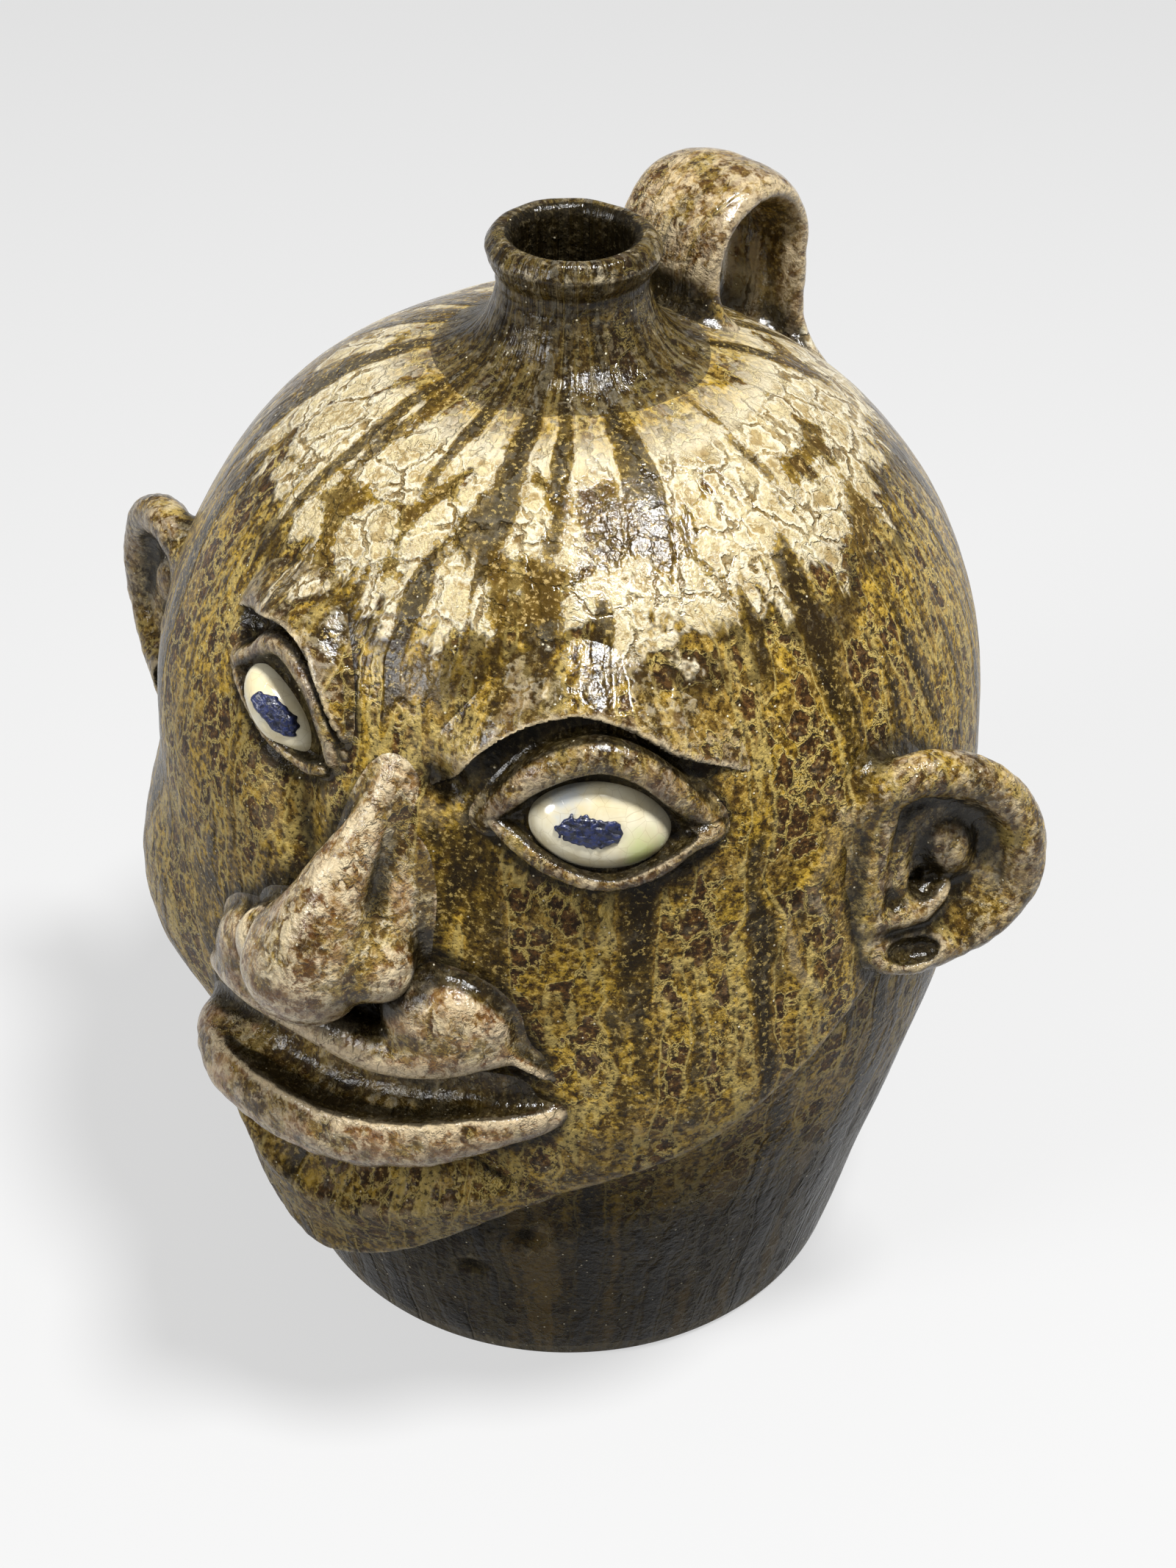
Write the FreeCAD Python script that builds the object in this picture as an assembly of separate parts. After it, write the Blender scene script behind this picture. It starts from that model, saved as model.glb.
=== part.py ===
import FreeCAD, Part
import math
import os

os.makedirs("parts", exist_ok=True)

# A wheel-thrown stoneware jug with a face of applied clay. Millimetres and degrees.
# The origin is the middle of the foot, +Z is up, and the face looks along -Y.
# Azimuth is counted from -Y towards +X, which is the face's own left.

# Thrown vessel: a leaning lower wall, then belly, side and shoulder arcs, and a crown
foot_radius = 72.2
lower_wall_lean = 12.75
lower_wall_height = 89.5
belly_arc_radius = 157.0
side_arc_radius = 490.0
side_arc_angle = 4.3
shoulder_arc_radius = 96.0
shoulder_arc_angle = 36.3
wall_thickness = 7.0
floor_thickness = 9.0
floor_corner_radius = 12.0
foot_bevel_width = 1.5
cut_overrun_length = 6.0

# Neck with a rolled lip
bore_radius = 12.2
neck_height = 25.1
lip_outer_radius = 18.3
lip_roll_height = 6.8
waist_radius = 15.9
flare_radius = 25.0
flare_height = 9.5

# Strap handle: two legs and an arch that leans back, in one upright plane behind the neck
handle_azimuth = 162.6
handle_arch_radius = 16.4
handle_arch_distance = 47.5
handle_arch_height = 248.2
handle_arch_tilt = 12.4
handle_strap_width = 28.4
handle_strap_thickness = 8.9
handle_riser_splay_width = 3.9
handle_riser_height = 22.0
handle_leg_splay_width = 6.8
handle_leg_height = 50.0

# Heights of the pieces of the face, set from the line where the lips meet
lip_line_height = 118.5
upper_lip_lift_height = 12.5
lower_lip_drop_height = 12.5
nose_foot_lift_height = 11.5
chin_drop_height = 31.0
left_cheek_lift_height = 5.5
right_cheek_drop_height = 8.5
ear_lift_height = 38.5
left_eye_lift_height = 66.8
right_eye_lift_height = 73.0
left_brow_lift_height = 11.2
right_brow_lift_height = 8.0
upper_lip_height = lip_line_height + upper_lip_lift_height
lower_lip_height = lip_line_height - lower_lip_drop_height

# Ears
left_ear_azimuth = 73.0
left_ear_turn = 27.0
right_ear_azimuth = -86.0
right_ear_turn = 40.0
ear_height = lip_line_height + ear_lift_height
ear_stand_off_distance = 9.0
ear_facing_angle = 8.0
ear_half_length = 26.0
ear_half_width = 20.0
ear_root_depth = 9.0
ear_rim_width = 9.0
ear_rim_thickness = 9.0
ear_bowl_thickness = 5.0
ear_bowl_depth = 2.6
ear_hump_height = 4.0
ear_hole_radius = 2.6
ear_hole_depth = 4.5

# Eyes: the balls sit on the wall and the lids are laid round them
left_eye_azimuth = 26.6
left_eye_height = lip_line_height + left_eye_lift_height
left_eye_tilt = -5.0
left_eye_half_length = 15.2
left_eye_half_height = 10.0
right_eye_azimuth = -18.6
right_eye_height = lip_line_height + right_eye_lift_height
right_eye_tilt = -30.0
right_eye_half_length = 11.6
right_eye_half_height = 8.4
eye_ball_height = 6.2
eye_ball_root_depth = 3.0
pupil_half_length = 6.2
pupil_half_height = 2.9
pupil_thickness = 0.9
upper_lid_width = 8.2
upper_lid_thickness = 7.2
upper_lid_lap_width = 1.6
lower_lid_width = 3.6
lower_lid_thickness = 4.4
lower_lid_gap_width = 0.6
lid_corner_length = 3.8
lid_root_depth = 2.0

# Brows: pads with an overhanging lower edge
left_brow_azimuth = 25.4
left_brow_height = left_eye_height + left_brow_lift_height
left_brow_tilt = 0.0
left_brow_half_length = 28.0
right_brow_azimuth = -20.5
right_brow_height = right_eye_height + right_brow_lift_height
right_brow_tilt = -20.0
right_brow_half_length = 22.0
brow_arch_height = 10.0
brow_width = 12.0
brow_thickness = 6.2
brow_root_depth = 2.5

# Nose
nose_bridge_azimuth = -1.6
nose_tip_azimuth = -5.6
nose_foot_height = upper_lip_height + nose_foot_lift_height
nose_length = 43.0
nose_projection_length = 23.0
nose_width = 34.5
nose_root_depth = 5.0
nostril_radius = 2.4
nostril_spacing_width = 15.0

# Mouth: an upper lip in two mounds and a lower lip like a scooped shelf
mouth_azimuth = -4.2
mouth_tilt = 3.5
upper_lip_mound_distance = 43.0
upper_lip_mound_slant = 14.0
upper_lip_half_length = 25.0
upper_lip_half_height = 13.0
upper_lip_half_depth = 12.0
upper_lip_thickness = 7.6
lower_lip_half_length = 48.0
lower_lip_sag_height = 9.0
lower_lip_width = 17.0
lower_lip_thickness = 16.5
lower_lip_root_depth = 4.0
mouth_trough_width = 13.0
mouth_trough_lift_height = 10.5
mouth_trough_setback_depth = 3.0
mouth_trough_floor_height = 1.0

# Chin and cheeks
chin_azimuth = -11.0
chin_height = lower_lip_height - chin_drop_height
chin_half_length = 46.0
chin_arch_height = 12.0
chin_width = 36.0
chin_thickness = 13.0
chin_root_depth = 8.0
left_cheek_azimuth = 47.0
left_cheek_height = lip_line_height + left_cheek_lift_height
left_cheek_tilt = 27.0
right_cheek_azimuth = -58.0
right_cheek_height = lip_line_height - right_cheek_drop_height
right_cheek_tilt = -14.0
cheek_half_length = 44.0
cheek_half_height = 40.0
cheek_half_depth = 30.0
cheek_thickness = 6.2

# Shares that shape the pieces, each of the sizes named beside its use
lip_outline_shares = ((0.0, 0.25), (0.36, 0.0), (0.87, 0.17), (0.98, 0.58), (0.68, 1.0))
flare_outline_shares = ((0.0, 1.0), (0.05, 0.62), (0.26, 0.27), (0.62, 0.07), (1.0, 0.0))
lid_route_shares = (
    (-1.0, 0.0, 0.20, 0.35, 0.45),
    (-0.72, 0.62, 0.62, 0.80, 0.85),
    (-0.38, 0.92, 0.90, 1.0, 1.0),
    (0.0, 1.0, 1.0, 1.0, 1.0),
    (0.38, 0.90, 0.90, 0.95, 1.0),
    (0.72, 0.56, 0.62, 0.80, 0.85),
    (1.0, 0.0, 0.20, 0.35, 0.45),
)
brow_route_shares = (
    (-1.0, -0.80, 0.0, 0.30, 0.50),
    (-0.70, -0.05, 0.6, 0.75, 0.85),
    (-0.35, 0.70, 1.0, 1.0, 1.0),
    (0.0, 1.0, 1.0, 1.1, 1.0),
    (0.35, 0.75, 1.0, 1.0, 1.0),
    (0.70, 0.0, 0.5, 0.75, 0.80),
    (1.0, -0.75, 0.0, 0.30, 0.45),
)
nose_section_shares = (
    (0.0, 0.42, 0.52),
    (0.09, 0.84, 0.90),
    (0.24, 1.0, 1.0),
    (0.42, 0.86, 0.94),
    (0.58, 0.56, 0.68),
    (0.78, 0.38, 0.40),
    (1.0, 0.24, 0.05),
)
lower_lip_route_shares = (
    (-1.0, 0.60, 0.05, 0.40, 0.35),
    (-0.68, 0.12, 0.74, 0.88, 0.85),
    (-0.34, -0.20, 0.98, 1.0, 1.0),
    (0.0, -0.30, 1.0, 1.0, 1.0),
    (0.34, -0.10, 0.84, 0.92, 0.92),
    (0.68, 0.25, 0.50, 0.72, 0.72),
    (1.0, 0.70, 0.05, 0.35, 0.35),
)
chin_route_shares = (
    (-1.0, 0.70, 0.0, 0.35, 0.60),
    (-0.55, 0.05, 0.8, 0.85, 0.90),
    (0.0, -0.30, 1.0, 1.0, 1.0),
    (0.55, 0.15, 0.8, 0.85, 0.90),
    (1.0, 0.95, 0.0, 0.35, 0.60),
)
ear_rim_shares = (
    (-0.80, 0.72, 1.0, 0.80),
    (-0.30, 0.84, 0.35, 0.95),
    (0.22, 0.70, 0.0, 1.0),
    (0.60, 0.34, -0.08, 1.05),
    (0.77, -0.10, 0.0, 1.0),
    (0.64, -0.50, 0.0, 0.95),
    (0.26, -0.74, 0.10, 0.90),
    (-0.24, -0.84, 0.35, 0.80),
    (-0.78, -0.80, 0.75, 0.65),
)
ear_plate_shares = (-0.12, 0.0, 0.86, 0.84)
ear_hump_shares = (-0.16, 0.16, 0.34, 0.36)
ear_hole_shares = (-0.38, -0.20)
nostril_depth_share = 0.33
mouth_trough_length_share = 0.9
leg_widening_share = 0.15

# How finely the pieces are drawn and fitted
section_steps = 12
handle_arch_steps = 6
riser_steps = 2
landing_steps = 4
strap_fullness = 0.9
fitting_tolerance = 0.01


def polar(radius, azimuth, height):
    """Point at a distance from the jug's axis, in the direction of an azimuth."""
    turn = math.radians(azimuth)
    return FreeCAD.Vector(radius * math.sin(turn), -radius * math.cos(turn), height)


def wall_arcs():
    """Centre, radius, first lean and last lean of each arc above the lower wall.

    The crown is an arc as well. Its radius follows from where the shoulder ends,
    so that the crown comes in level at the bore.
    """
    lean = math.radians(lower_wall_lean)
    radius = foot_radius + lower_wall_height * math.tan(lean)
    height = lower_wall_height
    side_sweep = math.radians(side_arc_angle)
    shoulder_sweep = math.radians(shoulder_arc_angle)
    crown_lean = -side_sweep - shoulder_sweep
    crown_sweep = math.pi / 2 + crown_lean
    arcs = []
    spans = ((belly_arc_radius, lean), (side_arc_radius, side_sweep),
             (shoulder_arc_radius, shoulder_sweep), (None, crown_sweep))
    for arc_radius, sweep in spans:
        if arc_radius is None:
            arc_radius = (radius - bore_radius) / math.cos(lean)
        centre_radius = radius - arc_radius * math.cos(lean)
        centre_height = height + arc_radius * math.sin(lean)
        arcs.append((centre_radius, centre_height, arc_radius, lean, lean - sweep))
        lean = lean - sweep
        radius = centre_radius + arc_radius * math.cos(lean)
        height = centre_height - arc_radius * math.sin(lean)
    return arcs


arcs_of_wall = wall_arcs()
crown_centre_radius, crown_centre_height, crown_arc_radius = arcs_of_wall[-1][:3]
crown_height = crown_centre_height + crown_arc_radius
mouth_height = crown_height + neck_height


def wall_radius(height):
    """Outer radius of the thrown wall at a height."""
    if height <= lower_wall_height:
        return foot_radius + height * math.tan(math.radians(lower_wall_lean))
    for centre_radius, centre_height, arc_radius, _, last_lean in arcs_of_wall:
        if height <= centre_height - arc_radius * math.sin(last_lean):
            rise = height - centre_height
            return centre_radius + math.sqrt(arc_radius ** 2 - rise ** 2)
    return bore_radius


def crown_height_at(radius):
    """Height of the crown at a radius."""
    return crown_centre_height + math.sqrt(crown_arc_radius ** 2 - (radius - crown_centre_radius) ** 2)


def wall_lean(height):
    """Lean of the wall at a height, outward positive, in radians."""
    if height <= lower_wall_height:
        return math.radians(lower_wall_lean)
    for centre_radius, centre_height, arc_radius, _, last_lean in arcs_of_wall:
        if height <= centre_height - arc_radius * math.sin(last_lean):
            return math.asin((centre_height - height) / arc_radius)
    return -math.pi / 2


def wall_normal(azimuth, height):
    """Direction that leaves the wall at right angles."""
    lean = wall_lean(height)
    return polar(math.cos(lean), azimuth, -math.sin(lean))


def on_wall(site, along, up, out):
    """Point and wall normal a given way round, up and out from a site on the wall.

    A site is an azimuth, a height and a tilt about the wall's normal.
    """
    azimuth, height, tilt = site
    turn = math.radians(tilt)
    across = along * math.cos(turn) - up * math.sin(turn)
    climb = along * math.sin(turn) + up * math.cos(turn)
    point_azimuth = azimuth + math.degrees(across / wall_radius(height))
    point_height = height + climb * math.cos(wall_lean(height))
    normal = wall_normal(point_azimuth, point_height)
    foot = polar(wall_radius(point_height), point_azimuth, point_height)
    return foot + normal * out, normal


def edges_to_face(edges):
    """Flat face inside a closed chain of edges."""
    return Part.Face(Part.Wire(edges))


def turned(face):
    """Solid made by turning a face about the jug's axis."""
    return face.revolve(FreeCAD.Vector(), FreeCAD.Vector(0, 0, 1), 360)


def wall_edges(start, inset):
    """Edges of the wall's profile from a start point up to the bore, moved in by an inset."""
    edges = []
    point = start
    for centre_radius, centre_height, arc_radius, first_lean, last_lean in arcs_of_wall:
        reach = arc_radius - inset
        marks = []
        for lean in (first_lean, (first_lean + last_lean) / 2, last_lean):
            marks.append(FreeCAD.Vector(centre_radius + reach * math.cos(lean), 0,
                                        centre_height - reach * math.sin(lean)))
        if not edges:
            edges.append(Part.makeLine(point, marks[0]))
        edges.append(Part.Arc(*marks).toShape())
        point = marks[-1]
    return edges, point


def make_vessel_block():
    """The thrown vessel as one filled block, which every applied piece is fitted to."""
    lean = math.radians(lower_wall_lean)
    bevel_top = FreeCAD.Vector(foot_radius + foot_bevel_width * math.tan(lean), 0, foot_bevel_width)
    bevel_foot = FreeCAD.Vector(foot_radius - foot_bevel_width, 0, 0)
    edges, top = wall_edges(bevel_top, 0)
    axis_top = FreeCAD.Vector(0, 0, top.z)
    closing = [Part.makeLine(top, axis_top), Part.makeLine(axis_top, FreeCAD.Vector()),
               Part.makeLine(FreeCAD.Vector(), bevel_foot), Part.makeLine(bevel_foot, bevel_top)]
    return turned(edges_to_face(edges + closing))


def make_cavity():
    """The hollow of the vessel, with a rounded corner at the floor."""
    lean = math.radians(lower_wall_lean)
    inner_foot = foot_radius - wall_thickness / math.cos(lean)
    corner_height = floor_thickness + floor_corner_radius
    corner_radius = inner_foot + corner_height * math.tan(lean) - floor_corner_radius / math.cos(lean)
    marks = []
    for angle in (-math.pi / 2, (-math.pi / 2 - lean) / 2, -lean):
        marks.append(FreeCAD.Vector(corner_radius + floor_corner_radius * math.cos(angle), 0,
                                    corner_height + floor_corner_radius * math.sin(angle)))
    edges, top = wall_edges(marks[-1], wall_thickness)
    axis_top = FreeCAD.Vector(0, 0, top.z)
    axis_foot = FreeCAD.Vector(0, 0, floor_thickness)
    closing = [Part.makeLine(top, axis_top), Part.makeLine(axis_top, axis_foot),
               Part.makeLine(axis_foot, marks[0]), Part.Arc(*marks).toShape()]
    return turned(edges_to_face(edges + closing))


vessel_block = make_vessel_block()


def main_lump(shape):
    """The largest solid of a cut, without the crumbs that a grazing cut leaves."""
    return max(shape.Solids, key=lambda solid: solid.Volume)


def luted(shape, *neighbours):
    """A piece of clay pressed on to the vessel and against its neighbours."""
    for block in (vessel_block, *neighbours):
        shape = shape.cut([block], fitting_tolerance)
    return main_lump(shape)


def eased(value, fullness):
    """A sine or cosine pushed outwards, so that an oval made of it comes out fuller."""
    return math.copysign(abs(value) ** fullness, value)


def oval(centre, side, out, half_width, half_depth, fullness):
    """Closed smooth outline round a centre: an ellipse where the fullness is 1, squarer below."""
    points = []
    for step in range(section_steps):
        angle = 2 * math.pi * step / section_steps
        across = half_width * eased(math.cos(angle), fullness)
        through = half_depth * eased(math.sin(angle), fullness)
        points.append(centre + side * across + out * through)
    curve = Part.BSplineCurve()
    curve.interpolate(points, PeriodicFlag=True)
    return Part.Wire(curve.toShape())


def roll(stations, fullness=1):
    """Roll of clay through stations of centre, outward direction, half width and half depth."""
    wires = []
    for index, (centre, outward, half_width, half_depth) in enumerate(stations):
        before = stations[max(index - 1, 0)][0]
        after = stations[min(index + 1, len(stations) - 1)][0]
        ahead = (after - before).normalize()
        side = outward.cross(ahead).normalize()
        out = ahead.cross(side).normalize()
        wires.append(oval(centre, side, out, half_width, half_depth, fullness))
    return Part.makeLoft(wires, True, False)


def wall_roll(site, half_length, bend, rise, width, root, route_shares):
    """Roll of clay along the wall that rises above it and sinks a root below it.

    Each row of the route gives, as shares, the place along the half length, the place
    up the bend, how much of the rise is reached, and the section's width and depth.
    """
    stations = []
    for along, up, lift, width_share, depth_share in route_shares:
        half_depth = (rise + root) / 2 * depth_share
        centre_out = (rise - root) / 2 - (1 - lift) * rise / 2
        point, normal = on_wall(site, along * half_length, up * bend, centre_out)
        stations.append((point, normal, width / 2 * width_share, half_depth))
    return roll(stations)


def ball(centre, along, up, out, half_length, half_height, half_depth):
    """Egg-shaped lump with its own three half sizes."""
    placing = FreeCAD.Matrix(
        along.x * half_length, up.x * half_height, out.x * half_depth, centre.x,
        along.y * half_length, up.y * half_height, out.y * half_depth, centre.y,
        along.z * half_length, up.z * half_height, out.z * half_depth, centre.z,
        0, 0, 0, 1)
    return Part.makeSphere(1).transformGeometry(placing)


def site_axes(site):
    """Directions along, up and out at a site on the wall."""
    azimuth, height, tilt = site
    out = wall_normal(azimuth, height)
    level = polar(1, azimuth + 90, 0)
    rising = out.cross(level) * -1
    if rising.z < 0:
        rising = rising * -1
    turn = math.radians(tilt)
    along = level * math.cos(turn) + rising * math.sin(turn)
    up = rising * math.cos(turn) - level * math.sin(turn)
    return along, up, out


def cap(site, half_length, half_height, half_depth, rise):
    """Egg-shaped lump that stands a rise above the wall and is sunk in it for the rest."""
    along, up, out = site_axes(site)
    centre = on_wall(site, 0, 0, rise - half_depth)[0]
    return ball(centre, along, up, out, half_length, half_height, half_depth)


def make_body():
    """The thrown shell with the bore through its crown."""
    bore_foot = FreeCAD.Vector(0, 0, crown_height - wall_thickness - cut_overrun_length)
    bore = Part.makeCylinder(bore_radius, wall_thickness + 2 * cut_overrun_length, bore_foot)
    return vessel_block.cut(make_cavity()).cut(bore)


def make_neck():
    """Neck with a flared foot, a waist and a rolled lip, bored straight through."""
    lip_width = lip_outer_radius - bore_radius
    lip_points = []
    for out, down in lip_outline_shares:
        height = mouth_height - down * lip_roll_height
        lip_points.append(FreeCAD.Vector(bore_radius + out * lip_width, 0, height))
    lip_base = lip_points[-1]
    flare_foot = crown_height_at(flare_radius)
    flare_width = flare_radius - waist_radius
    flare_points = [lip_base]
    for out, up in flare_outline_shares:
        height = flare_foot + up * flare_height
        flare_points.append(FreeCAD.Vector(waist_radius + out * flare_width, 0, height))
    lip_curve = Part.BSplineCurve()
    lip_curve.interpolate(lip_points)
    flare_curve = Part.BSplineCurve()
    flare_curve.interpolate(flare_points)
    sunk = flare_foot - wall_thickness / 2
    outer_foot = flare_points[-1]
    outer_sunk = FreeCAD.Vector(outer_foot.x, 0, sunk)
    inner_sunk = FreeCAD.Vector(bore_radius, 0, sunk)
    edges = [lip_curve.toShape(), flare_curve.toShape(), Part.makeLine(outer_foot, outer_sunk),
             Part.makeLine(outer_sunk, inner_sunk), Part.makeLine(inner_sunk, lip_points[0])]
    return luted(turned(edges_to_face(edges)))


def make_handle():
    """Pulled strap that climbs behind the neck, arches over and lands on the shoulder."""
    middle = polar(handle_arch_distance, handle_azimuth, handle_arch_height)
    away = polar(1, handle_azimuth, 0)
    up = FreeCAD.Vector(0, 0, 1)
    half_width = handle_strap_width / 2
    half_thickness = handle_strap_thickness / 2

    def in_arch(share):
        angle = math.pi * share + math.radians(handle_arch_tilt)
        outward = up * math.sin(angle) - away * math.cos(angle)
        return middle + outward * handle_arch_radius, outward

    def leg(start, facing, splay, drop, steps):
        stations = []
        for step in range(1, steps + 1):
            share = step / steps
            centre = start + away * (splay * share ** 2) - up * (drop * share)
            slope = 2 * splay * share / drop
            outward = facing + up * (slope * facing.dot(away))
            widening = 1 + leg_widening_share * share ** 2
            stations.append((centre, outward, half_width * widening, half_thickness * widening))
        return stations

    arch = []
    for step in range(handle_arch_steps + 1):
        centre, outward = in_arch(step / handle_arch_steps)
        arch.append((centre, outward, half_width, half_thickness))
    riser = leg(arch[0][0], away * -1, handle_riser_splay_width, handle_riser_height, riser_steps)
    landing = leg(arch[-1][0], away, handle_leg_splay_width, handle_leg_height, landing_steps)
    return luted(roll(riser[::-1] + arch + landing, strap_fullness))


def make_ear(ear_azimuth, ear_turn, way):
    """Ear with a thick rim round a cupped bowl, a hump, a pierced hole and a lobe.

    The way is 1 on the face's left and -1 on its right.
    """
    facing_azimuth = ear_azimuth - way * ear_turn
    rise = math.radians(ear_facing_angle)
    facing = polar(math.cos(rise), facing_azimuth, math.sin(rise))
    across = polar(way, facing_azimuth + 90, 0)
    up = facing.cross(across)
    if up.z < 0:
        up = up * -1
    middle = polar(wall_radius(ear_height) + ear_stand_off_distance, ear_azimuth, ear_height)
    towards_wall = polar(-1, ear_azimuth, 0)

    def in_ear(across_share, up_share, sink):
        return (middle + across * (across_share * ear_half_width) + up * (up_share * ear_half_length)
                + towards_wall * sink)

    stations = []
    for across_share, up_share, root_share, size_share in ear_rim_shares:
        stations.append((in_ear(across_share, up_share, root_share * ear_root_depth), facing,
                         ear_rim_width / 2 * size_share, ear_rim_thickness / 2 * size_share))
    rim = roll(stations)
    across_share, up_share, width_share, length_share = ear_plate_shares
    plate = ball(in_ear(across_share, up_share, ear_bowl_depth), across, up, facing,
                 ear_half_width * width_share, ear_half_length * length_share,
                 ear_bowl_thickness / 2 + ear_bowl_depth)
    across_share, up_share, width_share, length_share = ear_hump_shares
    hump = ball(in_ear(across_share, up_share, 0), across, up, facing,
                ear_half_width * width_share, ear_half_length * length_share, ear_hump_height)
    hole_mouth = in_ear(*ear_hole_shares, 0) + facing * ear_hump_height
    hole = Part.makeCylinder(ear_hole_radius, ear_hole_depth + ear_hump_height, hole_mouth, facing * -1)
    return luted(rim.fuse(plate).fuse(hump).cut(hole))


def make_eye(site, half_length, half_height):
    """Ball, pupil, upper lid and lower lid of one eye."""
    along, up, out = site_axes(site)
    half_depth = eye_ball_height / 2 + eye_ball_root_depth
    centre = on_wall(site, 0, 0, eye_ball_height - half_depth)[0]
    eyeball = luted(ball(centre, along, up, out, half_length, half_height, half_depth))
    size_share = half_length / left_eye_half_length
    pupil = ball(centre + out * half_depth, along, up, out, pupil_half_length * size_share,
                 pupil_half_height, pupil_thickness)
    pupil = luted(pupil, eyeball)
    lid_half_length = half_length + lid_corner_length * size_share
    upper_bend = half_height + upper_lid_width / 2 - upper_lid_lap_width
    lower_bend = -(half_height + lower_lid_gap_width + lower_lid_width / 2)
    upper = wall_roll(site, lid_half_length, upper_bend, upper_lid_thickness, upper_lid_width,
                      lid_root_depth, lid_route_shares)
    lower = wall_roll(site, lid_half_length, lower_bend, lower_lid_thickness, lower_lid_width,
                      lid_root_depth, lid_route_shares)
    upper_lid = luted(upper, eyeball, pupil)
    lower_lid = luted(lower, eyeball, pupil, upper_lid)
    return eyeball, pupil, upper_lid, lower_lid


def make_brow(site, half_length, *neighbours):
    """Brow pad over one eye."""
    pad = wall_roll(site, half_length, brow_arch_height, brow_thickness, brow_width,
                    brow_root_depth, brow_route_shares)
    return luted(pad, *neighbours)


def make_nose():
    """Nose with a narrow bridge, a full tip and two nostrils."""
    wires = []
    for height_share, width_share, depth_share in nose_section_shares:
        height = nose_foot_height + height_share * nose_length
        tip_share = min(1, 2 - 2 * height_share)
        azimuth = nose_bridge_azimuth + (nose_tip_azimuth - nose_bridge_azimuth) * tip_share
        half_depth = (nose_projection_length * depth_share + nose_root_depth) / 2
        centre = polar(wall_radius(height) - nose_root_depth + half_depth, azimuth, height)
        side = polar(1, azimuth + 90, 0)
        out = polar(1, azimuth, 0)
        wires.append(oval(centre, side, out, nose_width / 2 * width_share, half_depth, 1))
    nose = Part.makeLoft(wires, True, False)
    side = polar(1, nose_tip_azimuth + 90, 0)
    foot_distance = wall_radius(nose_foot_height) + nose_projection_length * nostril_depth_share
    foot = polar(foot_distance, nose_tip_azimuth, nose_foot_height)
    for way in (-1, 1):
        nostril = Part.makeSphere(nostril_radius, foot + side * (way * nostril_spacing_width / 2))
        nose = nose.cut(nostril)
    return luted(nose)


def make_upper_lip(nose):
    """Upper lip in two mounds that meet under the nose."""
    mounds = []
    half_turn = math.degrees(upper_lip_mound_distance / 2 / wall_radius(upper_lip_height))
    for way in (-1, 1):
        site = (mouth_azimuth + way * half_turn, upper_lip_height, mouth_tilt - way * upper_lip_mound_slant)
        mounds.append(cap(site, upper_lip_half_length, upper_lip_half_height, upper_lip_half_depth,
                          upper_lip_thickness))
    return luted(mounds[0].fuse(mounds[1]), nose)


def make_lower_lip(upper_lip):
    """Jutting lower lip with a trough scooped behind its rim."""
    site = (mouth_azimuth, lower_lip_height, mouth_tilt)
    lip = wall_roll(site, lower_lip_half_length, lower_lip_sag_height, lower_lip_thickness, lower_lip_width,
                    lower_lip_root_depth, lower_lip_route_shares)
    trough_site = (mouth_azimuth, lower_lip_height + mouth_trough_lift_height, mouth_tilt)
    trough_half_length = lower_lip_half_length * mouth_trough_length_share
    trough_thickness = lower_lip_thickness - mouth_trough_setback_depth
    trough = wall_roll(trough_site, trough_half_length, lower_lip_sag_height, trough_thickness,
                       mouth_trough_width, -mouth_trough_floor_height, lower_lip_route_shares)
    return luted(lip.cut(trough), upper_lip)


def make_chin(lower_lip):
    """Chin pad below the lower lip."""
    site = (chin_azimuth, chin_height, mouth_tilt)
    pad = wall_roll(site, chin_half_length, chin_arch_height, chin_thickness, chin_width,
                    chin_root_depth, chin_route_shares)
    return luted(pad, lower_lip)


def make_cheek(site, *neighbours):
    """Cheek and jaw pad on one side: the emerging cap of an egg-shaped lump."""
    pad = cap(site, cheek_half_length, cheek_half_height, cheek_half_depth, cheek_thickness)
    return luted(pad, *neighbours)


left_eye_site = (left_eye_azimuth, left_eye_height, left_eye_tilt)
right_eye_site = (right_eye_azimuth, right_eye_height, right_eye_tilt)
left_brow_site = (left_brow_azimuth, left_brow_height, left_brow_tilt)
right_brow_site = (right_brow_azimuth, right_brow_height, right_brow_tilt)
left_cheek_site = (left_cheek_azimuth, left_cheek_height, left_cheek_tilt)
right_cheek_site = (right_cheek_azimuth, right_cheek_height, right_cheek_tilt)

body = make_body()
neck = make_neck()
handle = make_handle()
left_ear = make_ear(left_ear_azimuth, left_ear_turn, 1)
right_ear = make_ear(right_ear_azimuth, right_ear_turn, -1)
left_eye = make_eye(left_eye_site, left_eye_half_length, left_eye_half_height)
right_eye = make_eye(right_eye_site, right_eye_half_length, right_eye_half_height)
nose = make_nose()
left_brow = make_brow(left_brow_site, left_brow_half_length, nose, *left_eye)
right_brow = make_brow(right_brow_site, right_brow_half_length, nose, left_brow, *right_eye)
upper_lip = make_upper_lip(nose)
lower_lip = make_lower_lip(upper_lip)
chin = make_chin(lower_lip)
left_cheek = make_cheek(left_cheek_site, left_ear, nose, upper_lip, lower_lip, chin, *left_eye)
right_cheek = make_cheek(right_cheek_site, right_ear, nose, upper_lip, lower_lip, chin, *right_eye)

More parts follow.
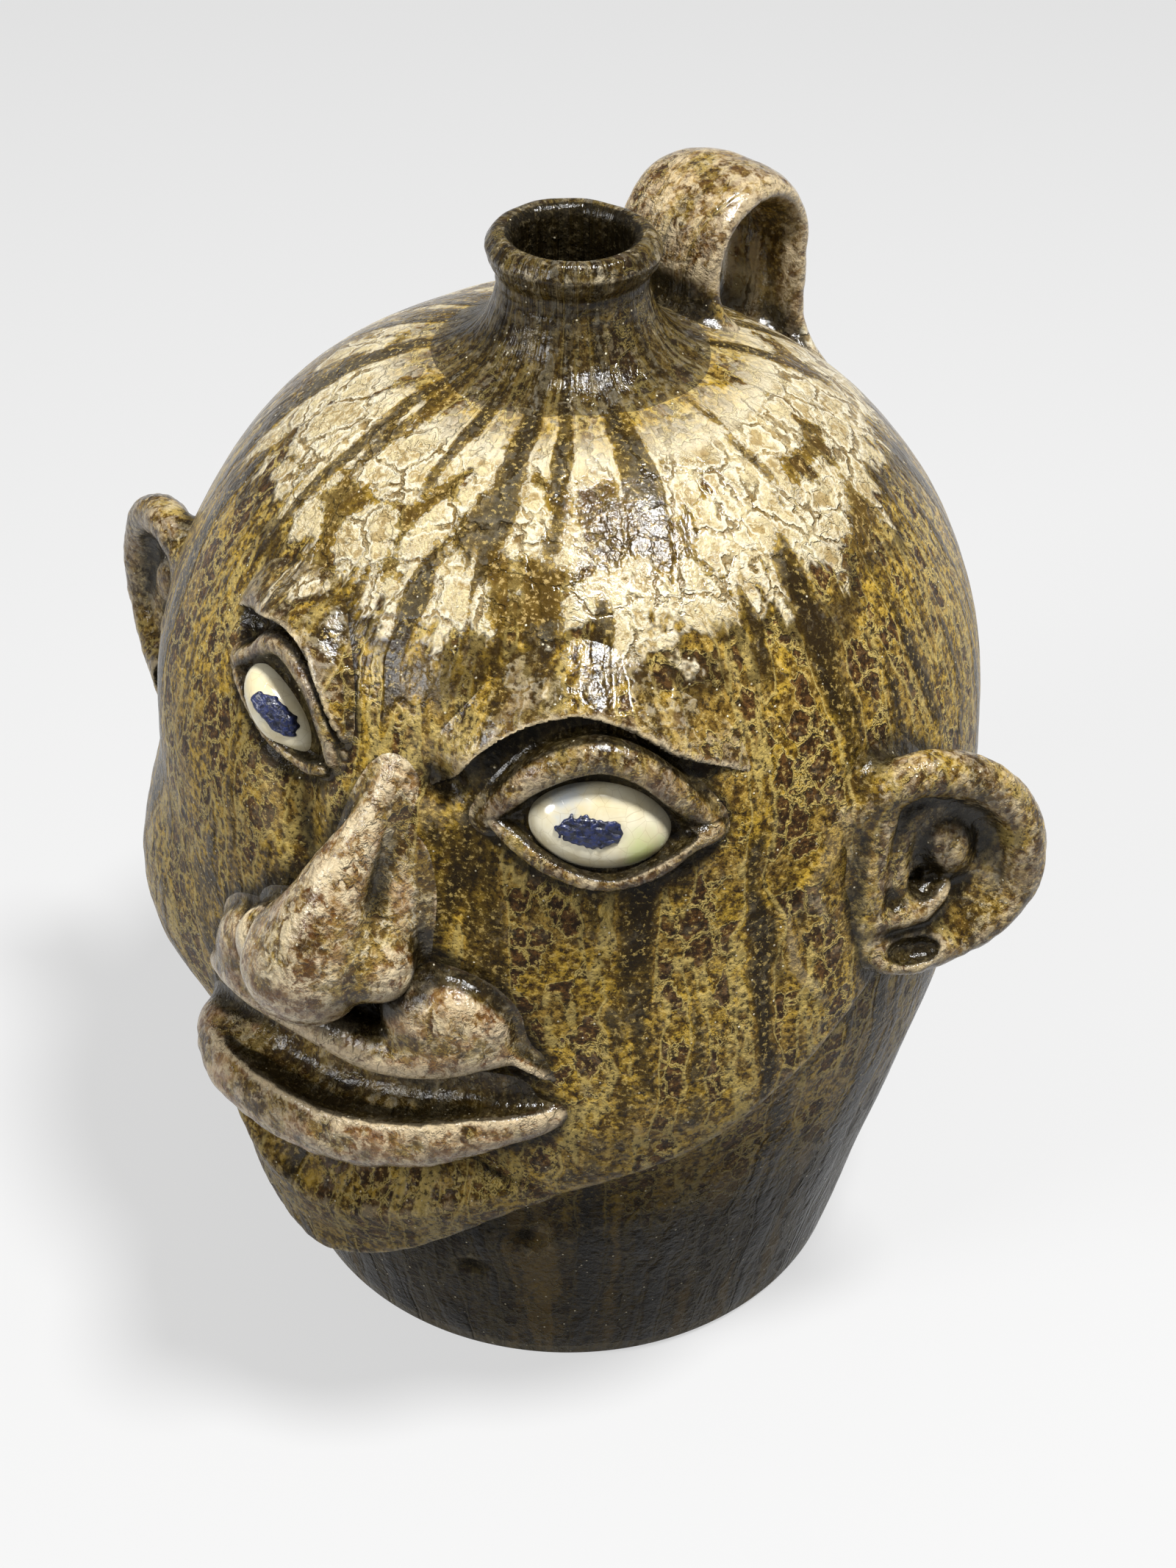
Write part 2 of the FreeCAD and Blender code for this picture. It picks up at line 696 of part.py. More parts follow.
pieces = {
    "jug_body": body,
    "neck_spout": neck,
    "strap_handle": handle,
    "left_ear": left_ear,
    "right_ear": right_ear,
    "nose": nose,
    "upper_lip": upper_lip,
    "lower_lip": lower_lip,
    "chin": chin,
    "left_cheek": left_cheek,
    "right_cheek": right_cheek,
    "left_brow": left_brow,
    "right_brow": right_brow,
}
for side_name, eye in (("left", left_eye), ("right", right_eye)):
    for part_name, shape in zip(("eyeball", "pupil", "upper_eyelid", "lower_eyelid"), eye):
        pieces[side_name + "_" + part_name] = shape

for name, shape in pieces.items():
    shape.exportStep("parts/" + name + ".step")
    box = shape.BoundBox
    print("%-20s solids %d valid %s volume %.1f cm3 box %.1f %.1f %.1f to %.1f %.1f %.1f" % (
        name, len(shape.Solids), shape.isValid(), shape.Volume / 1000,
        box.XMin, box.YMin, box.ZMin, box.XMax, box.YMax, box.ZMax))
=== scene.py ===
"""Looks of a stoneware face jug: thrown walls, applied clay, running ash glaze and a plain studio."""

import enum
import logging
import math
from dataclasses import dataclass
from typing import Callable, Sequence

import bpy
import numpy as np
from mathutils import Matrix, Vector


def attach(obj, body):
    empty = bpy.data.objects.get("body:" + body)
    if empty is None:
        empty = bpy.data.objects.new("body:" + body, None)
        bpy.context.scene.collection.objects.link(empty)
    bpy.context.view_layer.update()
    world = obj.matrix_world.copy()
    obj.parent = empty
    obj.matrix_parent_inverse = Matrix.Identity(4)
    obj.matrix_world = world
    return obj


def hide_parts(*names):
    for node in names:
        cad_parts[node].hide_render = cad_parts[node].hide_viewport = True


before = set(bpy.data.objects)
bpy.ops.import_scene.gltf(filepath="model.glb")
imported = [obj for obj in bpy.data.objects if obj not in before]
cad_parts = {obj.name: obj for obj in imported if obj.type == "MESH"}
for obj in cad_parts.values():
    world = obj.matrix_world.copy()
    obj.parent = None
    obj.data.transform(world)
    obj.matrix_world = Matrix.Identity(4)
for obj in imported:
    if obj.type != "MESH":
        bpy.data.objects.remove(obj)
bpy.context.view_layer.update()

LOG = logging.getLogger("face_jug")
MM = 0.001
CENTIMETRES = 100.0
BODY = "root"
ROOT = 1.6  # how far a pressed piece goes on under the wall, in millimetres
EDGE_DIP = 0.22  # how far its smeared edge ends under the wall, in millimetres
EDGE_START = 0.55  # where the dip starts and where the edge is cut, as shares of the smear
EDGE_END = 1.15
BREAK_RISE = 0.9  # rise over its surroundings at which a ridge counts in full, in millimetres
Array = np.ndarray
Field = Callable[[Array], Array]


def smooth_min(first: Array, second: Array, reach: float) -> Array:
    """Union of two distance fields with a fillet.

    Args:
        first: Distances to one form, in millimetres.
        second: Distances to the other form.
        reach: How far apart the distances may be and still blend.

    Returns:
        The blended distances.
    """
    share = np.clip(0.5 + 0.5 * (second - first) / reach, 0.0, 1.0)
    return second + (first - second) * share - reach * share * (1.0 - share)


def smooth_max(first: Array, second: Array, reach: float) -> Array:
    """Intersection of two distance fields with a rounded edge.

    Args:
        first: Distances to one form, in millimetres.
        second: Distances to the other form.
        reach: How far apart the distances may be and still blend.

    Returns:
        The blended distances.
    """
    return -smooth_min(-first, -second, reach)


def smooth_step(value: Array, low: float, high: float) -> Array:
    """Smooth ramp from 0 at the low value to 1 at the high one.

    Args:
        value: Values to ramp.
        low: Where the ramp starts.
        high: Where the ramp ends.

    Returns:
        The ramp.
    """
    share = np.clip((value - low) / (high - low), 0.0, 1.0)
    return share * share * (3.0 - 2.0 * share)


def egg(points: Array, centre: Sequence[float], half: Sequence[float], turn: float = 0.0) -> Array:
    """Distance to an egg-shaped lump.

    Args:
        points: Places, in millimetres.
        centre: Middle of the lump.
        half: Its three half sizes.
        turn: Turn about the third axis, in degrees.

    Returns:
        Approximate signed distances.
    """
    local = points - np.array(centre)
    angle = math.radians(turn)
    along = local[:, 0] * math.cos(angle) + local[:, 1] * math.sin(angle)
    across = local[:, 1] * math.cos(angle) - local[:, 0] * math.sin(angle)
    local = np.stack([along, across, local[:, 2]], 1)
    size = np.array(half)
    near = np.linalg.norm(local / size, axis=1)
    steep = np.linalg.norm(local / size ** 2, axis=1)
    return near * (near - 1.0) / np.maximum(steep, 1e-6)


def clay_roll(points: Array, route: Sequence[Sequence[float]], blend: float = 1.0) -> Array:
    """Distance to a roll of clay that follows a route and swells and tapers along it.

    Args:
        points: Places, in millimetres.
        route: Rows of x, y, height and radius.
        blend: Fillet between one stretch and the next.

    Returns:
        Signed distances.
    """
    result = None
    for start, end in zip(route[:-1], route[1:]):
        first = np.array(start[:3])
        span = np.array(end[:3]) - first
        share = np.clip((points - first) @ span / (span @ span), 0.0, 1.0)
        reach = np.linalg.norm(points - first - share[:, None] * span, axis=1)
        stretch = reach - (start[3] + (end[3] - start[3]) * share)
        result = stretch if result is None else smooth_min(result, stretch, blend)
    return result


def softened(rows: Sequence[Sequence[float]], parts: int = 4) -> Array:
    """Rows on the smooth curve through guide rows.

    Args:
        rows: Guide rows, any number of values each.
        parts: Steps between one guide row and the next.

    Returns:
        The finer rows.
    """
    guide = np.array(rows, float)
    guide = np.concatenate([2.0 * guide[:1] - guide[1:2], guide, 2.0 * guide[-1:] - guide[-2:-1]])
    fine = []
    for a, b, c, d in zip(guide[:-3], guide[1:-2], guide[2:-1], guide[3:]):
        for step in range(parts):
            t = step / parts
            fine.append(0.5 * (2.0 * b + (c - a) * t + (2.0 * a - 5.0 * b + 4.0 * c - d) * t ** 2
                               + (3.0 * b - a - 3.0 * c + d) * t ** 3))
    return np.array(fine + [guide[-2]])


def clay_noise(points: Array, size: float, seed: int, layers: int = 3) -> Array:
    """Soft unevenness from crossing waves, between about -1 and 1.

    Args:
        points: Places, in millimetres.
        size: Length of the longest wave.
        seed: Which set of waves.
        layers: How many ever finer sets.

    Returns:
        The unevenness at each place.
    """
    rng = np.random.default_rng(seed)
    total = np.zeros(len(points))
    for layer in range(layers):
        waves = rng.normal(size=(5, points.shape[1]))
        waves *= 2.0 ** layer * 2.0 * math.pi / size / np.linalg.norm(waves, axis=1)[:, None]
        phases = rng.uniform(0.0, 2.0 * math.pi, 5)
        total += np.sin(points @ waves.T + phases).sum(1) / 5.0 / 1.6 ** layer
    return total


@dataclass(frozen=True)
class Hollow:
    """Soft dent or swelling of the wall. Degrees and millimetres, rise negative for a dent."""

    azimuth: float
    height: float
    half_width: float
    half_height: float
    rise: float
    tilt: float = 0.0


@dataclass(frozen=True)
class ThrownWall:
    """Outer wall of the vessel: a leaning lower wall, three arcs and a crown level at the bore."""

    foot_radius: float = 72.2
    lower_lean: float = 12.75
    lower_height: float = 89.5
    belly_radius: float = 157.0
    side_radius: float = 490.0
    side_angle: float = 4.3
    shoulder_radius: float = 96.0
    shoulder_angle: float = 36.3
    bore_radius: float = 12.2
    hollows: tuple = ()

    def stretches(self) -> list:
        """Arcs of the wall as centre radius, centre height, radius, first and last lean, start length.

        Returns:
            A row for each arc, in millimetres and radians.
        """
        lean = math.radians(self.lower_lean)
        radius = self.foot_radius + self.lower_height * math.tan(lean)
        height = self.lower_height
        length = self.lower_height / math.cos(lean)
        last = math.pi / 2 - math.radians(self.side_angle + self.shoulder_angle)
        spans = ((self.belly_radius, lean), (self.side_radius, math.radians(self.side_angle)),
                 (self.shoulder_radius, math.radians(self.shoulder_angle)), (0.0, last))
        arcs = []
        for arc_radius, sweep in spans:
            arc_radius = arc_radius or (radius - self.bore_radius) / math.cos(lean)
            middle = radius - arc_radius * math.cos(lean)
            level = height + arc_radius * math.sin(lean)
            arcs.append((middle, level, arc_radius, lean, lean - sweep, length))
            lean -= sweep
            length += arc_radius * sweep
            radius = middle + arc_radius * math.cos(lean)
            height = level - arc_radius * math.sin(lean)
        return arcs

    def full_length(self) -> float:
        """Length of the wall from foot to bore, measured along it."""
        _, _, radius, first, last, start = self.stretches()[-1]
        return start + radius * (first - last)

    def at_length(self, length: Array) -> tuple:
        """Radius, height and lean of the wall at a length from the foot.

        Args:
            length: Lengths along the wall from the foot, in millimetres.

        Returns:
            Arrays of radius, height and lean, the lean in radians.
        """
        lean = np.full_like(length, math.radians(self.lower_lean))
        radius = self.foot_radius + length * np.sin(lean)
        height = length * np.cos(lean)
        for middle, level, arc_radius, first, _, start in self.stretches():
            there = length > start
            angle = first - (length - start) / arc_radius
            lean = np.where(there, angle, lean)
            radius = np.where(there, middle + arc_radius * np.cos(angle), radius)
            height = np.where(there, level - arc_radius * np.sin(angle), height)
        return radius, height, lean

    def length_at(self, height: float) -> float:
        """Length along the wall from the foot to a height."""
        lengths = np.linspace(0.0, self.full_length(), 4000)
        return float(np.interp(height, self.at_length(lengths)[1], lengths))

    def distance(self, points: Array) -> Array:
        """Distance of places from the bare wall, outward positive.

        Args:
            points: Places in millimetres.

        Returns:
            Signed distances.
        """
        reach = np.hypot(points[:, 0], points[:, 1])
        lean = math.radians(self.lower_lean)
        result = (reach - self.foot_radius) * math.cos(lean) - points[:, 2] * math.sin(lean)
        for middle, level, radius, first, _, _ in self.stretches():
            there = np.arctan2(points[:, 2] - level, reach - middle) >= -first
            result = np.where(there, np.hypot(reach - middle, points[:, 2] - level) - radius, result)
        return result

    def length_of(self, points: Array) -> Array:
        """Length along the wall from the foot to the foot of a normal through each place.

        Args:
            points: Places near the wall, in millimetres.

        Returns:
            Lengths in millimetres.
        """
        reach = np.hypot(points[:, 0], points[:, 1])
        lean = math.radians(self.lower_lean)
        result = (reach - self.foot_radius) * math.sin(lean) + points[:, 2] * math.cos(lean)
        for middle, level, radius, first, _, start in self.stretches():
            angle = np.arctan2(points[:, 2] - level, reach - middle)
            result = np.where(angle >= -first, start + (first + angle) * radius, result)
        return result

    def unevenness(self, azimuth: Array, length: Array) -> Array:
        """Height of the clay above the true thrown wall: hand marks, throwing rings and hollows.

        Args:
            azimuth: Directions in radians, from -Y towards +X.
            length: Lengths along the wall from the foot.

        Returns:
            Rise of the surface, in millimetres.
        """
        spots = np.stack([np.cos(azimuth) * 90.0, np.sin(azimuth) * 90.0, length], 1)
        ease = smooth_step(length, 0.0, 12.0) * smooth_step(self.full_length() - length, 8.0, 30.0)
        rise = ease * (0.55 * clay_noise(spots, 120.0, 5) + 0.02 * np.sin(length * 0.9 + azimuth * 1.5))
        radius, _, _ = self.at_length(length)
        for hollow in self.hollows:
            around = azimuth - math.radians(hollow.azimuth)
            around = (around + math.pi) % (2.0 * math.pi) - math.pi
            across = around * np.maximum(radius, 20.0)
            climb = length - self.length_at(hollow.height)
            turn = math.radians(hollow.tilt)
            along = (across * math.cos(turn) + climb * math.sin(turn)) / hollow.half_width
            up = (climb * math.cos(turn) - across * math.sin(turn)) / hollow.half_height
            rise = rise + hollow.rise * np.exp(-along ** 2 - up ** 2)
        return rise

    def place(self, azimuth: Array, length: Array, out: Array) -> Array:
        """World places at a direction, a length along the wall and a distance out of its surface.

        Args:
            azimuth: Directions in radians.
            length: Lengths along the wall from the foot.
            out: Distances out of the uneven surface, in millimetres.

        Returns:
            Rows of x, y and z in millimetres.
        """
        radius, height, lean = self.at_length(length)
        out = out + self.unevenness(azimuth, length)
        radius = radius + out * np.cos(lean)
        height = height - out * np.sin(lean)
        return np.stack([radius * np.sin(azimuth), -radius * np.cos(azimuth), height], 1)


WALL = ThrownWall(hollows=(
    Hollow(26.0, 186.0, 30.0, 19.0, 1.2),
    Hollow(26.6, 185.3, 16.0, 9.0, -3.6, -5.0),
    Hollow(-18.6, 191.5, 12.0, 7.5, -3.2, -30.0),
    Hollow(6.5, 190.5, 5.0, 4.2, -4.0),
    Hollow(-30.5, 203.5, 4.0, 3.6, -3.4, -30.0),
    Hollow(9.0, 172.0, 9.0, 18.0, -2.6, -14.0),
    Hollow(-13.5, 172.0, 6.0, 20.0, -3.4, 12.0),
    Hollow(1.5, 205.0, 17.0, 14.0, 1.6),
    Hollow(26.0, 168.0, 24.0, 6.0, -1.0, -4.0),
    Hollow(30.0, 76.0, 40.0, 9.0, -2.2, 22.0),
    Hollow(7.0, 40.0, 3.0, 2.4, -1.6),
    Hollow(16.5, 57.0, 3.4, 2.8, -1.6),
    Hollow(57.0, 158.0, 5.0, 22.0, 1.2, -8.0),
    Hollow(50.0, 150.0, 4.0, 26.0, -0.8, -4.0),
    Hollow(56.2, 165.6, 1.9, 7.0, 1.6, -37.0),
    Hollow(54.6, 158.0, 2.0, 6.0, 1.2, 18.0),
    Hollow(51.2, 150.0, 1.8, 10.0, 1.5, 4.0),
    Hollow(53.4, 139.0, 1.8, 6.5, 1.3, 30.0),
))


@dataclass(frozen=True)
class Site:
    """Place on the wall where a lump of clay is pressed on, with its own flat coordinates."""

    azimuth: float
    height: float
    tilt: float = 0.0

    def flat(self, spots: Sequence[Sequence[float]]) -> Array:
        """Along and up of places given by azimuth and height.

        Args:
            spots: Rows of azimuth in degrees and height in millimetres.

        Returns:
            Rows of along and up, in millimetres.
        """
        start = WALL.length_at(self.height)
        radius = float(WALL.at_length(np.array([start]))[0][0])
        turn = math.radians(self.tilt)
        rows = []
        for azimuth, height in spots:
            across = math.radians(azimuth - self.azimuth) * radius
            climb = WALL.length_at(height) - start
            rows.append((across * math.cos(turn) + climb * math.sin(turn),
                         climb * math.cos(turn) - across * math.sin(turn)))
        return np.array(rows)

    def rows(self, guide: Sequence[Sequence[float]]) -> Array:
        """Rows that start with along and up, from rows that start with azimuth and height."""
        return np.concatenate([self.flat([row[:2] for row in guide]), np.array(guide)[:, 2:]], 1)

    def curve(self, guide: Sequence[Sequence[float]]) -> Array:
        """The same rows, on the smooth curve through them."""
        return softened(self.rows(guide))

    def to_world(self, local: Array) -> Array:
        """World places of local ones.

        Args:
            local: Rows of along, up and out, in millimetres.

        Returns:
            Rows of x, y and z in millimetres.
        """
        start = WALL.length_at(self.height)
        radius = float(WALL.at_length(np.array([start]))[0][0])
        turn = math.radians(self.tilt)
        across = local[:, 0] * math.cos(turn) - local[:, 1] * math.sin(turn)
        climb = local[:, 0] * math.sin(turn) + local[:, 1] * math.cos(turn)
        azimuth = math.radians(self.azimuth) + across / radius
        return WALL.place(azimuth, start + climb, local[:, 2])


def net_surface(shape: Field, low: Sequence[float], high: Sequence[float], cell: float) -> tuple:
    """Closed quad mesh of the region where a field is negative.

    Args:
        shape: Field of signed distances.
        low: Lowest corner of the space that holds the region.
        high: Highest corner.
        cell: Spacing of the net, in millimetres.

    Returns:
        Points and rows of four point numbers, facing outward.
    """
    axes = [np.arange(a, b + cell, cell) for a, b in zip(low, high)]
    counts = tuple(len(axis) for axis in axes)
    grid = np.stack(np.meshgrid(*axes, indexing="ij"), -1).reshape(-1, 3)
    values = np.concatenate([shape(part) for part in np.array_split(grid, 8)]).reshape(counts)
    inside = values < 0.0
    for axis in range(3):
        edge = np.moveaxis(inside, axis, 0)
        edge[0] = False
        edge[-1] = False
    tally = np.zeros([n - 1 for n in counts], np.int8)
    for i in (0, 1):
        for j in (0, 1):
            for k in (0, 1):
                tally += inside[i:counts[0] - 1 + i, j:counts[1] - 1 + j, k:counts[2] - 1 + k]
    cells = np.argwhere((tally > 0) & (tally < 8))
    number = np.full(tally.shape, -1, np.int64)
    number[tuple(cells.T)] = np.arange(len(cells))
    points = np.array(low) + (cells + 0.5) * cell
    faces = []
    for axis in range(3):
        second, third = (axis + 1) % 3, (axis + 2) % 3
        solid = np.moveaxis(inside, (axis, second, third), (0, 1, 2))
        lookup = np.moveaxis(number, (axis, second, third), (0, 1, 2))
        crossing = solid[:-1, 1:-1, 1:-1] != solid[1:, 1:-1, 1:-1]
        spots = np.argwhere(crossing)
        leaving = solid[:-1, 1:-1, 1:-1][tuple(spots.T)]
        i, j, k = spots.T
        loop = np.stack([lookup[i, j, k], lookup[i, j + 1, k], lookup[i, j + 1, k + 1],
                         lookup[i, j, k + 1]], 1)
        loop[~leaving] = loop[~leaving][:, ::-1]
        faces.append(loop)
    step = cell * 0.1
    for _ in range(4):
        value = shape(points)
        slope = np.stack([shape(points + offset) - shape(points - offset)
                          for offset in np.eye(3) * step], 1) / (2.0 * step)
        size = np.maximum((slope ** 2).sum(1), 1e-3)
        move = -value[:, None] * slope / size[:, None]
        length = np.linalg.norm(move, axis=1)
        move *= np.minimum(1.0, 0.6 * cell / np.maximum(length, 1e-9))[:, None]
        points = points + move
    return points, np.concatenate(faces)


def mesh_normals(mesh: bpy.types.Mesh) -> Array:
    """Reads the normals of a mesh's points.

    Args:
        mesh: The mesh.

    Returns:
        A row for each point.
    """
    normals = np.empty(len(mesh.vertices) * 3, np.float32)
    mesh.vertex_normals.foreach_get("vector", normals)
    return normals.reshape(-1, 3).astype(float)


def averaged(mesh: bpy.types.Mesh, values: Array, rounds: int) -> Array:
    """Averages values over neighbouring points of a mesh.

    Args:
        mesh: The mesh.
        values: A row of values for each point.
        rounds: How many times the values are averaged.

    Returns:
        The averaged rows.
    """
    count = len(mesh.vertices)
    ends = np.empty(len(mesh.edges) * 2, np.int32)
    mesh.edges.foreach_get("vertices", ends)
    ends = ends.reshape(-1, 2)
    share = np.maximum(np.bincount(ends.ravel(), minlength=count), 1)[:, None]
    soft = values.copy()
    for _ in range(rounds):
        total = np.stack([np.bincount(ends[:, 0], soft[ends[:, 1], axis], count)
                          + np.bincount(ends[:, 1], soft[ends[:, 0], axis], count)
                          for axis in range(values.shape[1])], 1)
        soft = 0.5 * soft + 0.5 * total / share
    return soft


def glaze_breaks(mesh: bpy.types.Mesh, rounds: int) -> Array:
    """How convex the clay is about each point: the glaze thins on ridges and gathers in hollows, and the
    paint also lays painted highlights on ridges and painted shade in hollows from it.

    Args:
        mesh: The mesh, with its places in metres.
        rounds: How far the shape is averaged.

    Returns:
        Values from -1 in a hollow to 1 on a ridge.
    """
    points = mesh_points(mesh)
    lift = ((points - averaged(mesh, points, rounds)) * mesh_normals(mesh)).sum(1)
    return np.clip(lift / BREAK_RISE, -1.0, 1.0)


class ClayGrid:
    """Grid of small cells that marks where the jug's clay lies."""

    def __init__(self, clouds: Sequence[Array], cell: float = 1.25, margin: float = 14.0) -> None:
        """Marks the cells that hold a point of any piece.

        Args:
            clouds: The points of each piece, in millimetres.
            cell: Size of a cell.
            margin: Room round the pieces.
        """
        self.cell = cell
        self.low = np.min([cloud.min(0) for cloud in clouds], 0) - margin
        high = np.max([cloud.max(0) for cloud in clouds], 0) + margin
        self.taken = np.zeros(np.ceil((high - self.low) / cell).astype(int) + 1, bool)
        for cloud in clouds:
            self.taken[self.cells(cloud)] = True

    def cells(self, points: Array) -> tuple:
        """Numbers of the cells that places lie in."""
        return tuple(((points - self.low) / self.cell).astype(int).T)

    def crowding(self, points: Array, out: Array) -> Array:
        """How closely other clay stands over each point of a surface.

        Args:
            points: Places in millimetres.
            out: The surface's directions at them.

        Returns:
            Values from 0 for open to 1 for shut in.
        """
        side = np.cross(out, (0.31, 0.22, 0.92))
        side /= np.maximum(np.linalg.norm(side, axis=1), 1e-6)[:, None]
        across = np.cross(out, side)
        total = np.zeros(len(points))
        looks = [(0.2, 0.0)] + [(0.82, math.radians(45.0 * turn)) for turn in range(8)]
        for lean, turn in looks:
            sideways = math.cos(turn) * side + math.sin(turn) * across
            way = math.sqrt(1.0 - lean * lean) * out + lean * sideways
            hit = np.zeros(len(points))
            for reach, weight in ((9.5, 0.5), (7.8, 0.7), (6.4, 0.85), (5.2, 1.0), (4.2, 1.0), (3.4, 1.0)):
                hit = np.where(self.taken[self.cells(points + way * reach)], np.maximum(hit, weight), hit)
            total += hit / len(looks)
        return total


def paint_pooling_and_shade(pieces: Sequence[bpy.types.Object]) -> None:
    """Paints painted shade where other clay crowds over a surface and inside the bore, and dark pooled
    glaze on upward ledges of the face.

    Args:
        pieces: Every piece of the jug.
    """
    clouds = [mesh_points(piece.data) for piece in pieces]
    grid = ClayGrid(clouds)
    for piece, cloud in zip(pieces, clouds):
        out = mesh_normals(piece.data)
        radius = np.hypot(cloud[:, 0], cloud[:, 1])
        facing = (out[:, :2] * cloud[:, :2]).sum(1)
        bore = (facing < -0.4 * radius) & (radius < 16.0)
        upward = (out[:, 2] > 0.35) & (facing / np.maximum(radius, 1e-6) < 0.12)
        ledge = upward & (radius > 88.0) & (np.abs(cloud[:, 0]) < 60.0)
        # painted shade from crowding by other clay and in the bore; the ledge term is pooled glaze
        shut = np.where(bore | ledge, 0.5, 0.0) + grid.crowding(cloud, out)
        if piece.name.startswith(("neck", "jug")):
            shut = np.where((radius > 16.0) & (cloud[:, 2] > 218.0), 0.25 * shut, shut)
        if piece.name.startswith("neck"):
            breaks = piece.data.attributes["glaze_break"].data
            kept = np.empty(len(cloud), np.float32)
            breaks.foreach_get("value", kept)
            breaks.foreach_set("value", np.maximum(kept, -0.1))
        layer = piece.data.attributes.new("glaze_pool", "FLOAT", "POINT")
        soft = averaged(piece.data, shut[:, None], 3)[:, 0]
        layer.data.foreach_set("value", soft.astype(np.float32))


def add_mesh(name: str, points: Array, faces: Array, material: bpy.types.Material, rounds: int = 14,
             sharp: float = 60.0) -> bpy.types.Object:
    """Adds a piece from points and quads, in millimetres, with its glaze breaks painted on.

    Args:
        name: Name of the piece.
        points: Rows of x, y and z in millimetres.
        faces: Rows of four point numbers.
        material: The piece's finish.
        rounds: How far the shape is averaged for the glaze breaks.
        sharp: Angle past which an edge stays crisp, in degrees.

    Returns:
        The new object.
    """
    mesh = bpy.data.meshes.new(name)
    mesh.from_pydata((points * MM).tolist(), [], faces.tolist())
    finish_mesh(mesh, rounds, sharp)
    mesh.materials.append(material)
    piece = bpy.data.objects.new(name, mesh)
    bpy.context.scene.collection.objects.link(piece)
    return piece


def finish_mesh(mesh: bpy.types.Mesh, rounds: int, sharp: float) -> None:
    """Shades a mesh smooth and stores its glaze breaks.

    Args:
        mesh: The mesh.
        rounds: How far the shape is averaged for the glaze breaks.
        sharp: Angle past which an edge stays crisp, in degrees.
    """
    mesh.polygons.foreach_set("use_smooth", np.ones(len(mesh.polygons), bool))
    mesh.set_sharp_from_angle(angle=math.radians(sharp))
    breaks = glaze_breaks(mesh, rounds)
    layer = mesh.attributes.new("glaze_break", "FLOAT", "POINT")
    layer.data.foreach_set("value", breaks.astype(np.float32))
    mesh.update()


def seat(piece: bpy.types.Object, slot: str, *nodes: str) -> None:
    """Fixes a finished piece to the jug, in place of solids of the frame.

    Args:
        piece: The piece.
        slot: Not used.
        nodes: The solids that it stands for.
    """
    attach(piece, BODY)
    if nodes:
        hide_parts(*nodes)
    LOG.info("%s: %d faces, for %s", piece.name, len(piece.data.polygons), ", ".join(nodes))


class Side(enum.Enum):
    """The face's own left, towards +X, and right."""

    LEFT = 1.0
    RIGHT = -1.0


def lute(lump: Array, wall: Array, fillet: float, root: float) -> Array:
    """Joins a lump to the wall, with its skin dipping just under the wall past its edge.

    Args:
        lump: Distances to the bare lump.
        wall: Distances to the wall.
        fillet: Reach of the smear between them.
        root: How far the piece goes on under the wall.

    Returns:
        Signed distances.
    """
    joined = smooth_min(lump, wall, fillet)
    dip = EDGE_DIP * smooth_step(lump - wall, fillet * EDGE_START, fillet)
    edge = lump - wall - fillet * EDGE_END
    return np.maximum(np.maximum(joined + dip, -root - wall), edge)


@dataclass
class PressedClay:
    """Lump of clay pressed on to the wall, with its edge smeared out to nothing."""

    name: str
    site: Site
    half_along: float
    half_up: float
    top: float
    fillet: float
    cell: float = 0.9
    slot: str = "ash_glaze"
    handling: float = 0.25
    seed: int = 1
    rounds: int = 14

    def form(self, points: Array) -> Array:
        """Bare lump, before it is joined to the wall.

        Args:
            points: Places in the site's coordinates.

        Returns:
            Signed distances.
        """
        raise NotImplementedError

    def luted(self, points: Array) -> Array:
        """Lump joined to the wall, dipping just under the wall past its edge.

        Args:
            points: Places in the site's coordinates.

        Returns:
            Signed distances.
        """
        lump = self.form(points) + self.handling * clay_noise(points, 16.0, self.seed)
        return lute(lump, points[:, 2], self.fillet, ROOT)

    def make(self, material: bpy.types.Material) -> bpy.types.Object:
        """Builds the lump and seats it in place of its solid.

        Args:
            material: The lump's finish.

        Returns:
            The finished piece.
        """
        low = (-self.half_along, -self.half_up, -2.6)
        high = (self.half_along, self.half_up, self.top)
        points, faces = net_surface(self.luted, low, high, self.cell)
        piece = add_mesh(self.name + "_clay", self.site.to_world(points), faces, material, self.rounds)
        seat(piece, self.slot, self.name)
        return piece


